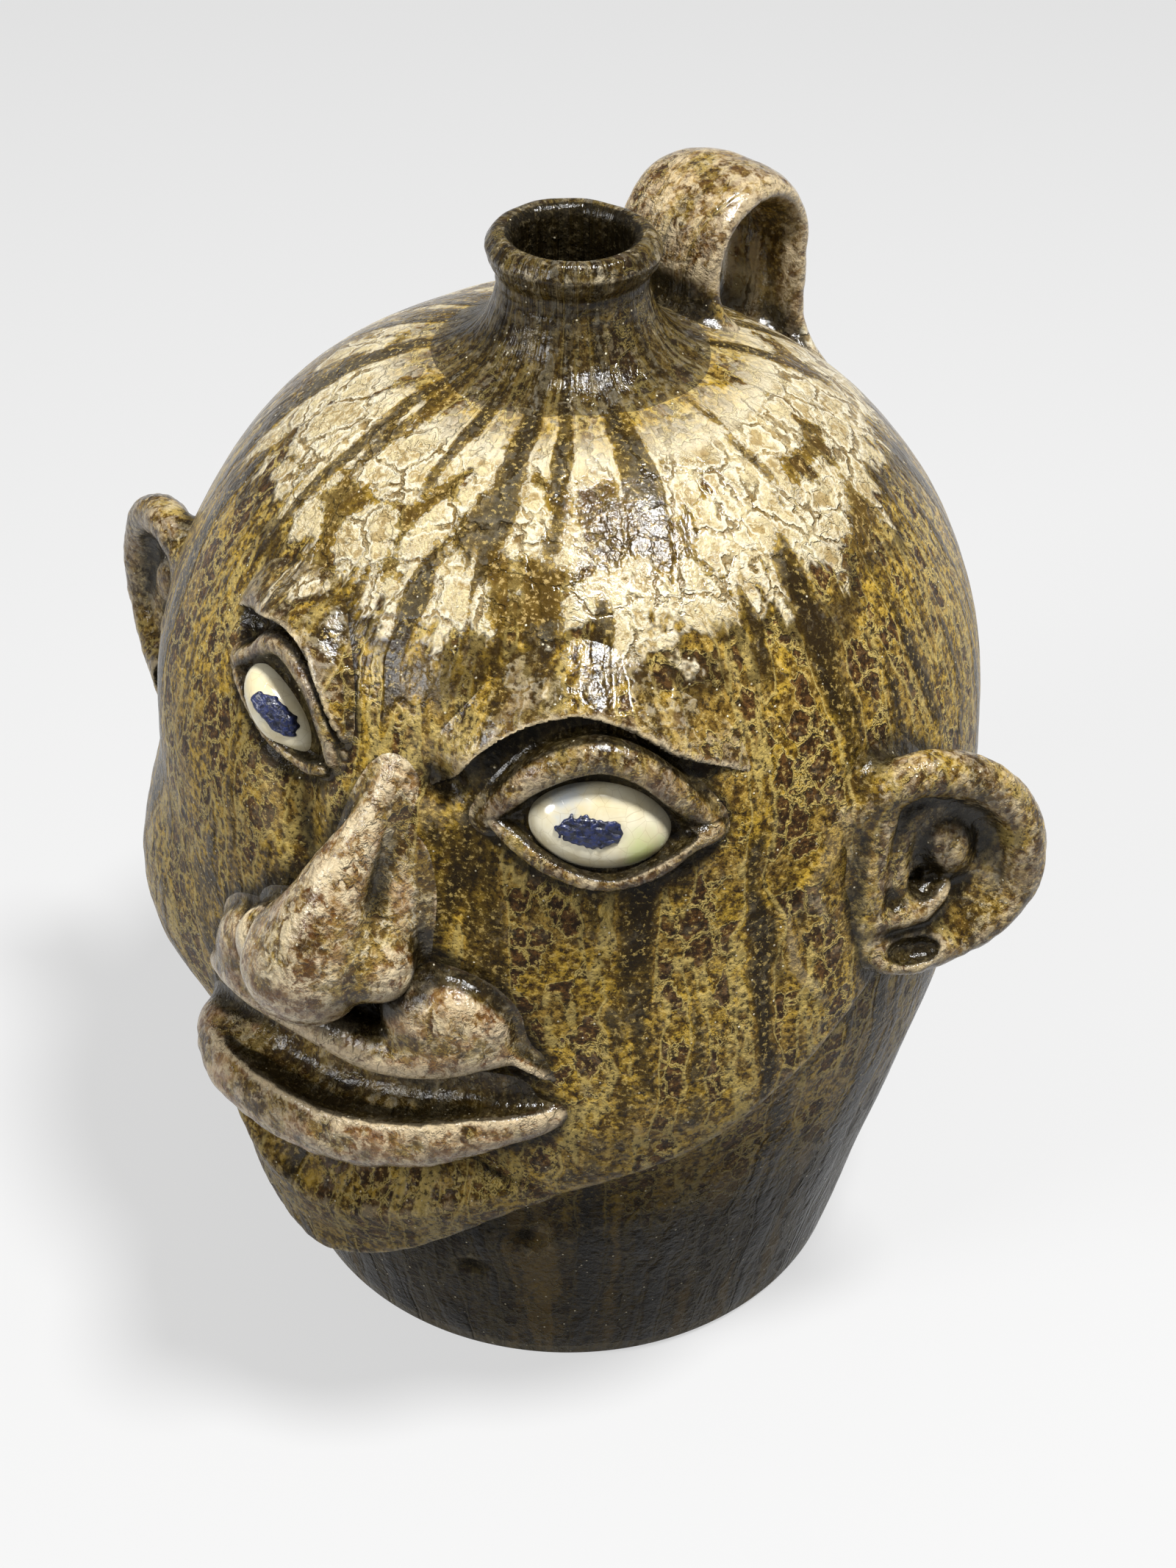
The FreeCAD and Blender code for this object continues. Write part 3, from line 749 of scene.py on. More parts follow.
@dataclass
class Nose(PressedClay):
    """Nose with a narrow bridge that widens to a heavy tip hanging to one side, wings and nostrils."""

    ridge: tuple = ((-0.2, 189.0, -2.6, 3.0), (-1.6, 183.0, -0.2, 3.2), (-2.8, 177.0, 2.8, 3.8),
                    (-4.0, 171.0, 5.6, 4.8), (-5.0, 165.0, 7.8, 6.4), (-5.9, 158.5, 9.2, 8.6),
                    (-6.8, 152.0, 9.8, 11.0), (-8.2, 147.0, 9.6, 12.2))
    flank: tuple = ((1.0, 174.0, -3.4, 4.2), (0.8, 166.0, -2.2, 5.4), (-0.2, 158.0, 0.2, 6.6),
                    (-1.4, 152.0, 4.4, 8.0))
    wings: tuple = ((-15.0, 144.0, 4.4, 8.2), (0.4, 149.6, 6.0, 7.0))
    groove: tuple = ((-17.8, 153.0, 7.6, 1.6), (-14.6, 150.2, 12.6, 2.5), (-13.6, 145.6, 15.6, 1.6))
    nostrils: tuple = ((-12.0, 135.0, 8.0, 2.3), (-5.4, 136.0, 7.0, 2.2))

    def form(self, points: Array) -> Array:
        """Bare nose.

        Args:
            points: Places in the site's coordinates.

        Returns:
            Signed distances.
        """
        lump = clay_roll(points, self.site.curve(self.ridge), 2.0)
        lump = smooth_min(lump, clay_roll(points, self.site.curve(self.flank), 2.0), 3.6)
        for row in self.site.rows(self.wings):
            lump = smooth_min(lump, egg(points, row[:3], (row[3], row[3] * 1.05, row[3])), 3.4)
        lump = smooth_max(lump, -clay_roll(points, self.site.curve(self.groove), 1.0), 2.4)
        for along, up, out, radius in self.site.rows(self.nostrils):
            hole = clay_roll(points, ((along, up - 6.0, out - 1.0, radius), (along, up + 3.0, out, radius)))
            lump = smooth_max(lump, -hole, 1.6)
        return lump


@dataclass
class UpperLip(PressedClay):
    """Two mounds that meet under the nose, with a crisp overhanging lower edge."""

    mounds: tuple = ((-19.0, 133.0, 0.6, 15.0, 12.5, 14.0), (7.8, 134.8, 1.6, 14.5, 11.8, -14.0))
    roll: tuple = ((-30.0, 119.5, 0.0, 2.2), (-26.0, 125.0, 2.4, 3.6), (-19.0, 128.2, 4.0, 4.6),
                   (-10.0, 127.5, 4.6, 4.6), (-3.0, 126.2, 4.8, 4.6), (3.0, 126.6, 4.8, 4.8),
                   (8.5, 129.4, 4.2, 4.9), (12.5, 130.4, 2.6, 3.6), (16.0, 127.6, 1.6, 2.0),
                   (20.5, 121.0, 0.8, 1.6))
    edge: tuple = ((-32.0, 116.0), (-27.0, 122.6), (-21.0, 125.4), (-13.0, 124.3), (-7.0, 123.0),
                   (-1.0, 121.9), (4.6, 122.9), (9.0, 125.6), (12.5, 127.2), (16.0, 125.6),
                   (18.0, 122.6), (24.0, 115.4))
    overhang: float = 0.42
    mound_rise: float = 8.2

    def form(self, points: Array) -> Array:
        """Bare lip.

        Args:
            points: Places in the site's coordinates.

        Returns:
            Signed distances.
        """
        lump = clay_roll(points, self.site.curve(self.roll), 1.5)
        for along, up, out, wide, tall, turn in self.site.rows(self.mounds):
            lump = smooth_min(lump, egg(points, (along, up, out), (wide, tall, self.mound_rise), turn), 3.0)
        line = softened(self.site.flat(self.edge))
        under = np.interp(points[:, 0], line[:, 0], line[:, 1])
        under = under + self.overhang * (8.0 - points[:, 2]) - points[:, 1]
        return smooth_max(lump, under * 0.85, 1.2)


@dataclass
class LowerLip(PressedClay):
    """Jutting lower lip whose rim stands up before a scooped trough."""

    roll: tuple = ((-34.0, 100.0, -1.0, 3.6), (-29.5, 100.0, 3.2, 7.0), (-22.0, 101.0, 5.0, 9.6),
                   (-11.0, 102.4, 5.6, 10.4), (-4.0, 104.0, 5.6, 10.2), (2.0, 106.2, 5.2, 9.4),
                   (7.5, 108.8, 4.4, 8.4), (12.5, 110.8, 3.0, 7.0), (17.5, 111.8, 1.4, 5.4),
                   (22.0, 112.4, -0.6, 3.6))
    trough: tuple = ((-31.0, 111.0, 8.4, 3.4), (-24.0, 115.0, 7.6, 5.8), (-14.0, 116.6, 7.2, 7.4),
                     (-5.0, 117.4, 7.2, 7.8), (3.0, 119.0, 6.6, 7.2), (10.0, 120.6, 5.8, 6.0),
                     (16.0, 119.8, 4.4, 4.4), (21.0, 117.6, 2.6, 2.2))

    def form(self, points: Array) -> Array:
        """Bare lip.

        Args:
            points: Places in the site's coordinates.

        Returns:
            Signed distances.
        """
        torn = 0.3 * clay_noise(points, 9.0, self.seed + 4) * smooth_step(points[:, 2], 5.0, 11.0)
        lump = clay_roll(points, self.site.curve(self.roll), 1.5) + torn
        scoop = clay_roll(points, self.site.curve(self.trough), 1.5)
        return smooth_max(lump, -scoop, 1.3)


@dataclass
class SoftPad(PressedClay):
    """Low pad made of one or more eggs, sunk so far that only their caps stand out."""

    eggs: tuple = ()
    blend: float = 8.0

    def form(self, points: Array) -> Array:
        """Bare pad.

        Args:
            points: Places in the site's coordinates.

        Returns:
            Signed distances.
        """
        lump = None
        for along, up, out, wide, tall, thick, turn in self.site.rows(self.eggs):
            part = egg(points, (along, up, out), (wide, tall, thick), turn)
            lump = part if lump is None else smooth_min(lump, part, self.blend)
        return lump


@dataclass
class SteppedPad(PressedClay):
    """Pad that stands out between two edges, each with its own fall: the chin, the jaw, a brow.

    The stations give azimuth, height of the lower edge, height of the upper edge above it, rise, and
    how far each edge takes to fall.
    """

    stations: tuple = ()
    undercut: float = 0.0

    def luted(self, points: Array) -> Array:
        """Raised wall, with its lower edge cut back where it overhangs.

        Args:
            points: Places in the site's coordinates.

        Returns:
            Signed distances.
        """
        rows = softened(self.site.rows(self.stations))
        low, tall, rise, low_fall, high_fall = (np.interp(points[:, 0], rows[:, 0], column)
                                                for column in rows[:, 1:].T)
        above = points[:, 1] - low
        share = smooth_step(above, -0.5 * low_fall, 0.5 * low_fall)
        share = share * (1.0 - smooth_step(above - tall, -0.5 * high_fall, 0.5 * high_fall))
        uneven = self.handling * clay_noise(points * (1.0, 1.0, 0.0), 16.0, self.seed)
        top = points[:, 2] - (rise + 0.25 + uneven) * share + 0.25
        if self.undercut:
            under = self.undercut * (rise - points[:, 2]) - above
            top = smooth_max(top, under, 0.7)
        inside = np.maximum(rows[0, 0] - points[:, 0], points[:, 0] - rows[-1, 0])
        outline = np.maximum(-above - 0.5 * low_fall, above - tall - 0.5 * high_fall)
        return np.maximum(np.maximum(top, -ROOT - points[:, 2]), np.maximum(inside, outline) - 0.5)


@dataclass
class Lid(PressedClay):
    """Eyelid: a roll of clay along one edge of the eye, cut crisp along the opening."""

    roll: tuple = ()
    upper: tuple = ()
    lower: tuple = ()
    trim: float = 0.8

    def form(self, points: Array) -> Array:
        """Bare lid.

        Args:
            points: Places in the site's coordinates.

        Returns:
            Signed distances.
        """
        lump = clay_roll(points, self.site.curve(self.roll), 0.8)
        above = softened(self.site.flat(self.upper))
        below = softened(self.site.flat(self.lower))
        top = np.interp(points[:, 0], above[:, 0], above[:, 1])
        foot = np.interp(points[:, 0], below[:, 0], below[:, 1])
        opening = np.maximum(points[:, 1] - top, foot - points[:, 1]) * 0.85
        return smooth_max(lump, -opening, self.trim)


@dataclass
class Eyeball(PressedClay):
    """Low ball of pale clay, a little lopsided, laid in the socket."""

    along: float = 15.0
    up: float = 10.0
    rise: float = 6.0
    sunk: float = 3.4
    turn: float = 0.0

    def luted(self, points: Array) -> Array:
        """The ball keeps a crisp edge, so the socket shows dark round it.

        Args:
            points: Places in the site's coordinates.

        Returns:
            Signed distances.
        """
        lopsided = -0.6 * points[:, 0] / self.along
        shift = np.stack([np.zeros_like(lopsided), lopsided, 0.3 * lopsided], 1)
        ball = egg(points - shift, (0.0, 0.0, -self.sunk), (self.along, self.up, self.rise + self.sunk),
                   self.turn)
        return smooth_max(ball, -4.4 - points[:, 2], 0.6)


@dataclass
class Pupil(PressedClay):
    """Ragged raised chip of cobalt on the ball."""

    along: float = 6.4
    up: float = 3.1
    turn: float = 0.0
    offset: tuple = (0.0, 0.0)
    ball: Eyeball = None

    def luted(self, points: Array) -> Array:
        """Chip with a torn outline and a ribbed, broken top.

        Args:
            points: Places in the site's coordinates.

        Returns:
            Signed distances.
        """
        angle = math.radians(self.turn)
        across, rise = points[:, 0] - self.offset[0], points[:, 1] - self.offset[1]
        along = across * math.cos(angle) + rise * math.sin(angle)
        up = rise * math.cos(angle) - across * math.sin(angle)
        flat = np.stack([along, up, np.zeros(len(points))], 1)
        ragged = 0.7 * clay_noise(flat, 5.2, self.seed, 3)
        outline = (np.hypot(along / self.along, up / self.up) - 1.0) * self.up + ragged
        ribs = 0.34 * clay_noise(flat * (0.35, 1.0, 1.0), 2.2, self.seed + 7, 3)
        skin = self.ball.luted(points) - 0.6 + ribs
        return smooth_max(smooth_max(skin, outline, 0.5), -ROOT - self.ball.luted(points), 0.1)


@dataclass
class Ear:
    """Ear with a thick rim, cupped bowl, hump, pierced hole and lobe, in its own plane."""

    side: Side
    azimuth: float
    facing: float
    height: float = 151.0
    stand: float = 104.7
    rise: float = 5.0
    rim: tuple = ((-20.0, 24.0, -2.0, 3.6), (-14.5, 28.6, 0.0, 4.2), (-8.0, 30.4, 1.2, 4.3),
                  (-1.0, 28.8, 2.0, 4.3), (6.0, 24.8, 2.4, 4.4), (12.0, 18.6, 2.4, 4.5),
                  (15.8, 10.6, 2.2, 4.6), (17.0, 3.4, 1.8, 4.6), (16.4, -4.0, 1.4, 4.4),
                  (12.6, -9.6, 1.0, 4.2), (7.0, -13.0, 0.8, 4.2), (0.0, -14.6, 0.6, 4.4),
                  (-7.0, -15.2, 0.4, 4.8), (-13.0, -14.6, -0.4, 4.6), (-19.0, -12.0, -2.4, 3.8))
    crus: tuple = ((-20.0, -4.6, -1.5, 3.0), (-12.0, -4.4, 0.6, 2.7), (-5.6, -4.0, 1.2, 2.2),
                   (-1.2, -0.6, 0.6, 1.6))
    front: tuple = ((-19.0, -8.0, -1.0, 2.6), (-18.6, 4.0, 0.2, 2.4), (-17.4, 14.0, 0.2, 2.2),
                    (-16.0, 23.0, 0.0, 2.6))
    fillet: float = 6.0
    root: float = 1.8
    cell: float = 0.75

    def axes(self) -> tuple:
        """Origin, outward, up and facing directions of the ear's plane.

        Returns:
            The origin in millimetres and three unit vectors.
        """
        side = self.side.value
        facing = math.radians(self.facing)
        lift = math.radians(self.rise)
        normal = np.array([side * math.sin(facing) * math.cos(lift), -math.cos(facing) * math.cos(lift),
                           math.sin(lift)])
        outward = np.array([side * math.cos(facing), math.sin(facing), 0.0])
        up = np.cross(normal, outward) * side
        at = math.radians(self.azimuth)
        origin = np.array([side * self.stand * math.sin(at), -self.stand * math.cos(at), self.height])
        return origin, outward, up, normal

    def to_world(self, local: Array) -> Array:
        """World places of places in the ear's plane."""
        origin, outward, up, normal = self.axes()
        return origin + local @ np.stack([outward, up, normal])

    def form(self, local: Array) -> Array:
        """Ear joined to the wall.

        Args:
            local: Places as outward, up and facing, in millimetres.

        Returns:
            Signed distances.
        """
        wall = WALL.distance(self.to_world(local))
        rim = clay_roll(local, softened(self.rim), 1.5)
        plate = egg(local, (0.0, 6.0, -3.0), (17.5, 23.0, 5.6))
        bowl = egg(local, (-1.5, 7.0, 5.2), (12.6, 15.6, 7.4), 8.0)
        lobe = egg(local, (-10.5, -12.6, 4.2), (6.4, 3.2, 3.0), -6.0)
        lump = smooth_min(rim, plate, 4.0)
        lump = smooth_max(lump, -bowl, 2.0)
        lump = smooth_min(lump, clay_roll(local, softened(self.crus), 1.0), 2.4)
        lump = smooth_min(lump, clay_roll(local, softened(self.front), 1.0), 3.0)
        lump = smooth_min(lump, egg(local, (0.6, 9.0, -1.4), (5.4, 8.6, 4.0), 24.0), 3.0)
        lump = smooth_max(lump, -lobe, 1.6)
        hole = clay_roll(local, ((-7.0, 1.8, -3.5, 2.2), (-7.0, 1.8, 6.0, 2.7)))
        lump = smooth_max(lump, -hole, 0.9)
        lump = lump + 0.28 * clay_noise(local, 12.0, 31) + 0.12 * clay_noise(local, 5.0, 32)
        return lute(lump, wall, self.fillet, self.root)

    def make(self, material: bpy.types.Material) -> bpy.types.Object:
        """Builds the ear and seats it in place of its solid.

        Args:
            material: The ear's finish.

        Returns:
            The finished piece.
        """
        name = self.side.name.lower() + "_ear"
        points, faces = net_surface(self.form, (-32.0, -28.0, -20.0), (25.0, 42.0, 14.0), self.cell)
        if self.side is Side.RIGHT:
            faces = faces[:, ::-1]
        world = self.to_world(points)
        reach = np.hypot(world[:, 0], world[:, 1])
        lift = WALL.unevenness(np.arctan2(world[:, 0], -world[:, 1]), world[:, 2] + 4.0)
        near = 1.0 - smooth_step(WALL.distance(world), 2.0, 12.0)
        world[:, :2] *= (1.0 + near * lift / reach)[:, None]
        piece = add_mesh(name + "_clay", world, faces, material)
        seat(piece, "ash_glaze", name)
        return piece


class Nodes:
    """Short way to lay nodes in a tree and wire them."""

    def __init__(self, tree: bpy.types.NodeTree) -> None:
        """Keeps the tree to fill."""
        self.tree = tree

    def add(self, kind: str, inputs: dict | None = None, **settings: object) -> bpy.types.Node:
        """Adds one node.

        Args:
            kind: Type of node.
            inputs: Values or sockets by input name or number.
            settings: Properties of the node.

        Returns:
            The new node.
        """
        node = self.tree.nodes.new(kind)
        for key, value in settings.items():
            setattr(node, key, value)
        for key, value in (inputs or {}).items():
            if isinstance(value, bpy.types.NodeSocket):
                self.tree.links.new(value, node.inputs[key])
            else:
                node.inputs[key].default_value = value
        return node

    def math(self, operation: str, first: object, second: object = 0.0, clamp: bool = False) -> object:
        """Adds a Math node and gives its result."""
        return self.add("ShaderNodeMath", {0: first, 1: second}, operation=operation,
                        use_clamp=clamp).outputs[0]

    def plus(self, first: object, second: object, clamp: bool = False) -> object:
        """Adds two values, kept between 0 and 1 if clamped."""
        return self.math("ADD", first, second, clamp)

    def minus(self, first: object, second: object) -> object:
        """Takes the second value from the first."""
        return self.math("SUBTRACT", first, second)

    def times(self, first: object, second: object, clamp: bool = False) -> object:
        """Multiplies two values, kept between 0 and 1 if clamped."""
        return self.math("MULTIPLY", first, second, clamp)

    def most(self, first: object, second: object) -> object:
        """Gives the larger of two values."""
        return self.math("MAXIMUM", first, second)

    def sway(self, value: object, noise: object, reach: float) -> object:
        """Shifts a value by how far a noise lies from its middle."""
        return self.plus(value, self.times(self.minus(noise, 0.5), reach))

    def vector(self, operation: str, first: object, second: object) -> object:
        """Adds a Vector Math node and gives its vector; SCALE takes a number as its second value."""
        return self.add("ShaderNodeVectorMath", {0: first, "Scale" if operation == "SCALE" else 1: second},
                        operation=operation).outputs[0]

    def ramp(self, value: object, low: float, high: float) -> object:
        """Adds a smooth ramp from 0 at the low value to 1 at the high one."""
        return self.add("ShaderNodeMapRange", {0: value, 1: low, 2: high},
                        interpolation_type="SMOOTHSTEP").outputs[0]

    def mix(self, share: object, first: object, second: object) -> object:
        """Adds a colour Mix node and gives its result."""
        return self.add("ShaderNodeMix", {0: share, 6: first, 7: second}, data_type="RGBA").outputs[2]

    def blend(self, value: object, low: float, high: float, first: object, second: object) -> object:
        """Goes from one colour to another as a value climbs."""
        return self.mix(self.ramp(value, low, high), first, second)

    def tint(self, base: object, share: object, strength: float, colour: object) -> object:
        """Lays a colour over a base, by a share times a strength."""
        return self.mix(self.times(share, strength), base, colour)

    def noise(self, vector: object, scale: float, detail: float = 3.0, rough: float = 0.55,
              warp: float = 0.0) -> object:
        """Adds a Noise Texture and gives its value."""
        return self.add("ShaderNodeTexNoise", {"Vector": vector, "Scale": scale, "Detail": detail,
                                               "Roughness": rough, "Distortion": warp}).outputs[0]

    def bump(self, height: object, strength: float, distance: float) -> object:
        """Adds a Bump node and gives its normal; the distance is in metres."""
        return self.add("ShaderNodeBump", {"Strength": strength, "Distance": distance,
                                           "Height": height}).outputs[0]

    def layer(self, name: str) -> object:
        """Gives the values that are painted on the mesh under a name."""
        return self.add("ShaderNodeAttribute", attribute_name=name).outputs["Fac"]

    def places(self) -> object:
        """Gives places on the object, in metres."""
        return self.add("ShaderNodeTexCoord").outputs["Object"]


def declare(tree: bpy.types.NodeTree, way: str, sockets: dict) -> None:
    """Args:
        tree: The group.
        way: INPUT or OUTPUT.
        sockets: Kind of socket by name, or kind and first value.
    """
    for name, kind in sockets.items():
        kind, value = kind if isinstance(kind, tuple) else (kind, None)
        socket = tree.interface.new_socket(name, in_out=way, socket_type="NodeSocket" + kind)
        if value is not None:
            socket.default_value = value


def run_tree(piece: bpy.types.Object, tree: bpy.types.NodeTree, values: dict) -> None:
    """Runs a Geometry Nodes tree on an object and keeps the result as its plain mesh.

    Args:
        piece: Object whose mesh feeds the tree.
        tree: The tree.
        values: Values by input name.
    """
    modifier = piece.modifiers.new("make", "NODES")
    modifier.node_group = tree
    for item in tree.interface.items_tree:
        if item.in_out == "INPUT" and item.name in values:
            modifier[item.identifier] = values[item.name]
    graph = bpy.context.evaluated_depsgraph_get()
    result = bpy.data.meshes.new_from_object(piece.evaluated_get(graph))
    piece.modifiers.remove(modifier)
    old = piece.data
    piece.data = result
    bpy.data.meshes.remove(old)
    result.name = piece.name


def wheel_tree() -> bpy.types.NodeTree:
    """Tree that turns a section about the upright axis, as on a potter's wheel.

    Returns:
        The tree.
    """
    tree = bpy.data.node_groups.new("thrown_on_wheel", "GeometryNodeTree")
    declare(tree, "INPUT", {"Section": "Geometry", "Columns": ("Int", 300), "Front Share": ("Float", 0.0),
                            "Glaze": "Material"})
    declare(tree, "OUTPUT", {"Geometry": "Geometry"})
    lay = Nodes(tree)
    given = lay.add("NodeGroupInput").outputs
    count = lay.add("GeometryNodeAttributeDomainSize", {0: given["Section"]}).outputs["Point Count"]
    columns = lay.plus(given["Columns"], 1.0)
    grid = lay.add("GeometryNodeMeshGrid", {"Vertices X": columns, "Vertices Y": count}).outputs["Mesh"]
    index = lay.add("GeometryNodeInputIndex").outputs[0]
    column = lay.math("FLOOR", lay.math("DIVIDE", lay.plus(index, 0.5), count))
    row = lay.minus(index, lay.times(column, count))
    turn = lay.times(lay.math("DIVIDE", column, given["Columns"]), 2.0 * math.pi)
    turn = lay.minus(turn, lay.times(given["Front Share"], lay.math("SINE", turn)))
    position = lay.add("GeometryNodeInputPosition").outputs[0]
    spot = lay.add("GeometryNodeSampleIndex", {"Geometry": given["Section"], "Index": row},
                   data_type="FLOAT_VECTOR")
    tree.links.new(position, next(s for s in spot.inputs if s.name == "Value" and s.enabled))
    value = next(s for s in spot.outputs if s.enabled)
    parts = lay.add("ShaderNodeSeparateXYZ", {0: value}).outputs
    x = lay.times(parts[0], lay.math("SINE", turn))
    y = lay.times(parts[0], lay.times(lay.math("COSINE", turn), -1.0))
    place = lay.add("ShaderNodeCombineXYZ", {0: x, 1: y, 2: parts[2]}).outputs[0]
    moved = lay.add("GeometryNodeSetPosition", {"Geometry": grid, "Position": place}).outputs[0]
    merged = lay.add("GeometryNodeMergeByDistance", {"Geometry": moved, "Distance": 1e-6}).outputs[0]
    real = lay.add("GeometryNodeRealizeInstances", {0: merged}).outputs[0]
    dressed = lay.add("GeometryNodeSetMaterial", {"Geometry": real, "Material": given["Glaze"]}).outputs[0]
    lay.add("NodeGroupOutput", {0: dressed})
    return tree


def strap_tree() -> bpy.types.NodeTree:
    """Tree that pulls a rounded strap along a path, with its width kept level.

    Returns:
        The tree.
    """
    tree = bpy.data.node_groups.new("pulled_strap", "GeometryNodeTree")
    declare(tree, "INPUT", {"Path": "Geometry", "Width": ("Float", 0.028), "Thickness": ("Float", 0.009),
                            "Stations": ("Int", 120), "Sides": ("Int", 48), "Across": "Vector",
                            "Glaze": "Material"})
    declare(tree, "OUTPUT", {"Geometry": "Geometry"})
    lay = Nodes(tree)
    given = lay.add("NodeGroupInput").outputs
    curve = lay.add("GeometryNodeMeshToCurve", {"Mesh": given["Path"]}).outputs[0]
    soft = lay.add("GeometryNodeCurveSplineType", {"Curve": curve}, spline_type="CATMULL_ROM").outputs[0]
    even = lay.add("GeometryNodeResampleCurve", {"Curve": soft, "Count": given["Stations"]}).outputs[0]
    level = lay.add("GeometryNodeSetCurveNormal", {"Curve": even, "Normal": given["Across"]},
                    mode="FREE").outputs[0]
    ring = lay.add("GeometryNodeCurvePrimitiveCircle",
                   {"Resolution": given["Sides"], "Radius": 0.5}).outputs[0]
    scale = lay.add("ShaderNodeCombineXYZ", {0: given["Width"], 1: given["Thickness"], 2: 1.0}).outputs[0]
    oval = lay.add("GeometryNodeTransform", {"Geometry": ring, "Scale": scale}).outputs[0]
    strap = lay.add("GeometryNodeCurveToMesh", {"Curve": level, "Profile Curve": oval,
                                                "Fill Caps": True}).outputs[0]
    real = lay.add("GeometryNodeRealizeInstances", {0: strap}).outputs[0]
    dressed = lay.add("GeometryNodeSetMaterial", {"Geometry": real, "Material": given["Glaze"]}).outputs[0]
    lay.add("NodeGroupOutput", {0: dressed})
    return tree


def line_object(name: str, points: Array) -> bpy.types.Object:
    """Object whose mesh is one open line, in millimetres.

    Args:
        name: Name of the object.
        points: Places along the line, in millimetres.

    Returns:
        The new object.
    """
    mesh = bpy.data.meshes.new(name)
    edges = [(i, i + 1) for i in range(len(points) - 1)]
    mesh.from_pydata((points * MM).tolist(), edges, [])
    piece = bpy.data.objects.new(name, mesh)
    bpy.context.scene.collection.objects.link(piece)
    return piece


def mesh_points(mesh: bpy.types.Mesh) -> Array:
    """Places of a mesh's points, in millimetres.

    Args:
        mesh: The mesh, in metres.

    Returns:
        A row for each point.
    """
    values = np.empty(len(mesh.vertices) * 3, np.float32)
    mesh.vertices.foreach_get("co", values)
    return values.reshape(-1, 3).astype(np.float64) / MM


def shape_mesh(mesh: bpy.types.Mesh, points: Array, rounds: int, sharp: float) -> None:
    """Puts a made mesh's points in place, turns its faces outward and finishes it.

    Args:
        mesh: The mesh.
        points: New places in millimetres.
        rounds: How far the shape is averaged for the glaze breaks.
        sharp: Angle past which an edge stays crisp, in degrees.
    """
    mesh.vertices.foreach_set("co", (points * MM).astype(np.float32).ravel())
    mesh.update()
    mesh.calc_loop_triangles()
    corners = np.empty(len(mesh.loop_triangles) * 3, np.int32)
    mesh.loop_triangles.foreach_get("vertices", corners)
    a, b, c = points[corners.reshape(-1, 3)].transpose(1, 0, 2)
    if (a * np.cross(b, c)).sum() < 0.0:
        mesh.flip_normals()
    finish_mesh(mesh, rounds, sharp)


@dataclass
class Vessel:
    """Hollow thrown body: foot, leaning wall, belly, shoulder, crown, and the room inside."""

    thickness: float = 7.0
    floor: float = 9.0
    bevel: float = 1.5
    columns: int = 344
    front_share: float = 0.36
    step: float = 1.28

    def section(self) -> Array:
        """Line round one half of the wall, from the axis below the floor to the axis above it.

        Returns:
            Rows of x, 0 and z in millimetres.
        """
        foot = [(0.0, 0.0), (20.0, 0.0), (45.0, 0.0), (62.0, 0.0), (WALL.foot_radius - self.bevel, 0.0),
                (WALL.foot_radius - self.bevel * 0.4, self.bevel * 0.25)]
        full = WALL.full_length()
        lengths = np.arange(self.bevel, full, self.step)
        radius, height, lean = WALL.at_length(lengths)
        outer = list(zip(radius, height))
        top = float(WALL.at_length(np.array([full]))[1][0])
        bore = [(WALL.bore_radius, top), (WALL.bore_radius, top - self.thickness)]
        radius, height, lean = WALL.at_length(np.linspace(full - 8.0, 10.0, 46))
        within = [(r - self.thickness * math.cos(a), z + self.thickness * math.sin(a))
                  for r, z, a in zip(radius, height, lean)]
        within = [spot for spot in within if spot[1] > self.floor + 6.0]
        wide = within[-1][0]
        floor = [(wide - 3.0, self.floor + 2.0), (wide - 9.0, self.floor), (30.0, self.floor),
                 (0.0, self.floor)]
        line = np.array(foot + outer + bore + within + floor)
        return np.stack([line[:, 0], np.zeros(len(line)), line[:, 1]], 1)

    def make(self, tree: bpy.types.NodeTree, material: bpy.types.Material) -> bpy.types.Object:
        """Throws the body and presses the sockets and hand marks into it.

        Args:
            tree: The tree that throws it.
            material: Its finish.

        Returns:
            The finished piece.
        """
        piece = line_object("jug_body_clay", self.section())
        run_tree(piece, tree, {"Columns": self.columns, "Front Share": self.front_share,
                               "Glaze": material})
        points = mesh_points(piece.data)
        outer = (np.abs(WALL.distance(points)) < 0.02) & (points[:, 2] > 0.3)
        azimuth = np.arctan2(points[outer, 0], -points[outer, 1])
        points[outer] = WALL.place(azimuth, WALL.length_of(points[outer]), np.zeros(outer.sum()))
        shape_mesh(piece.data, points, 24, 50.0)
        seat(piece, "ash_glaze", "jug_body")
        return piece


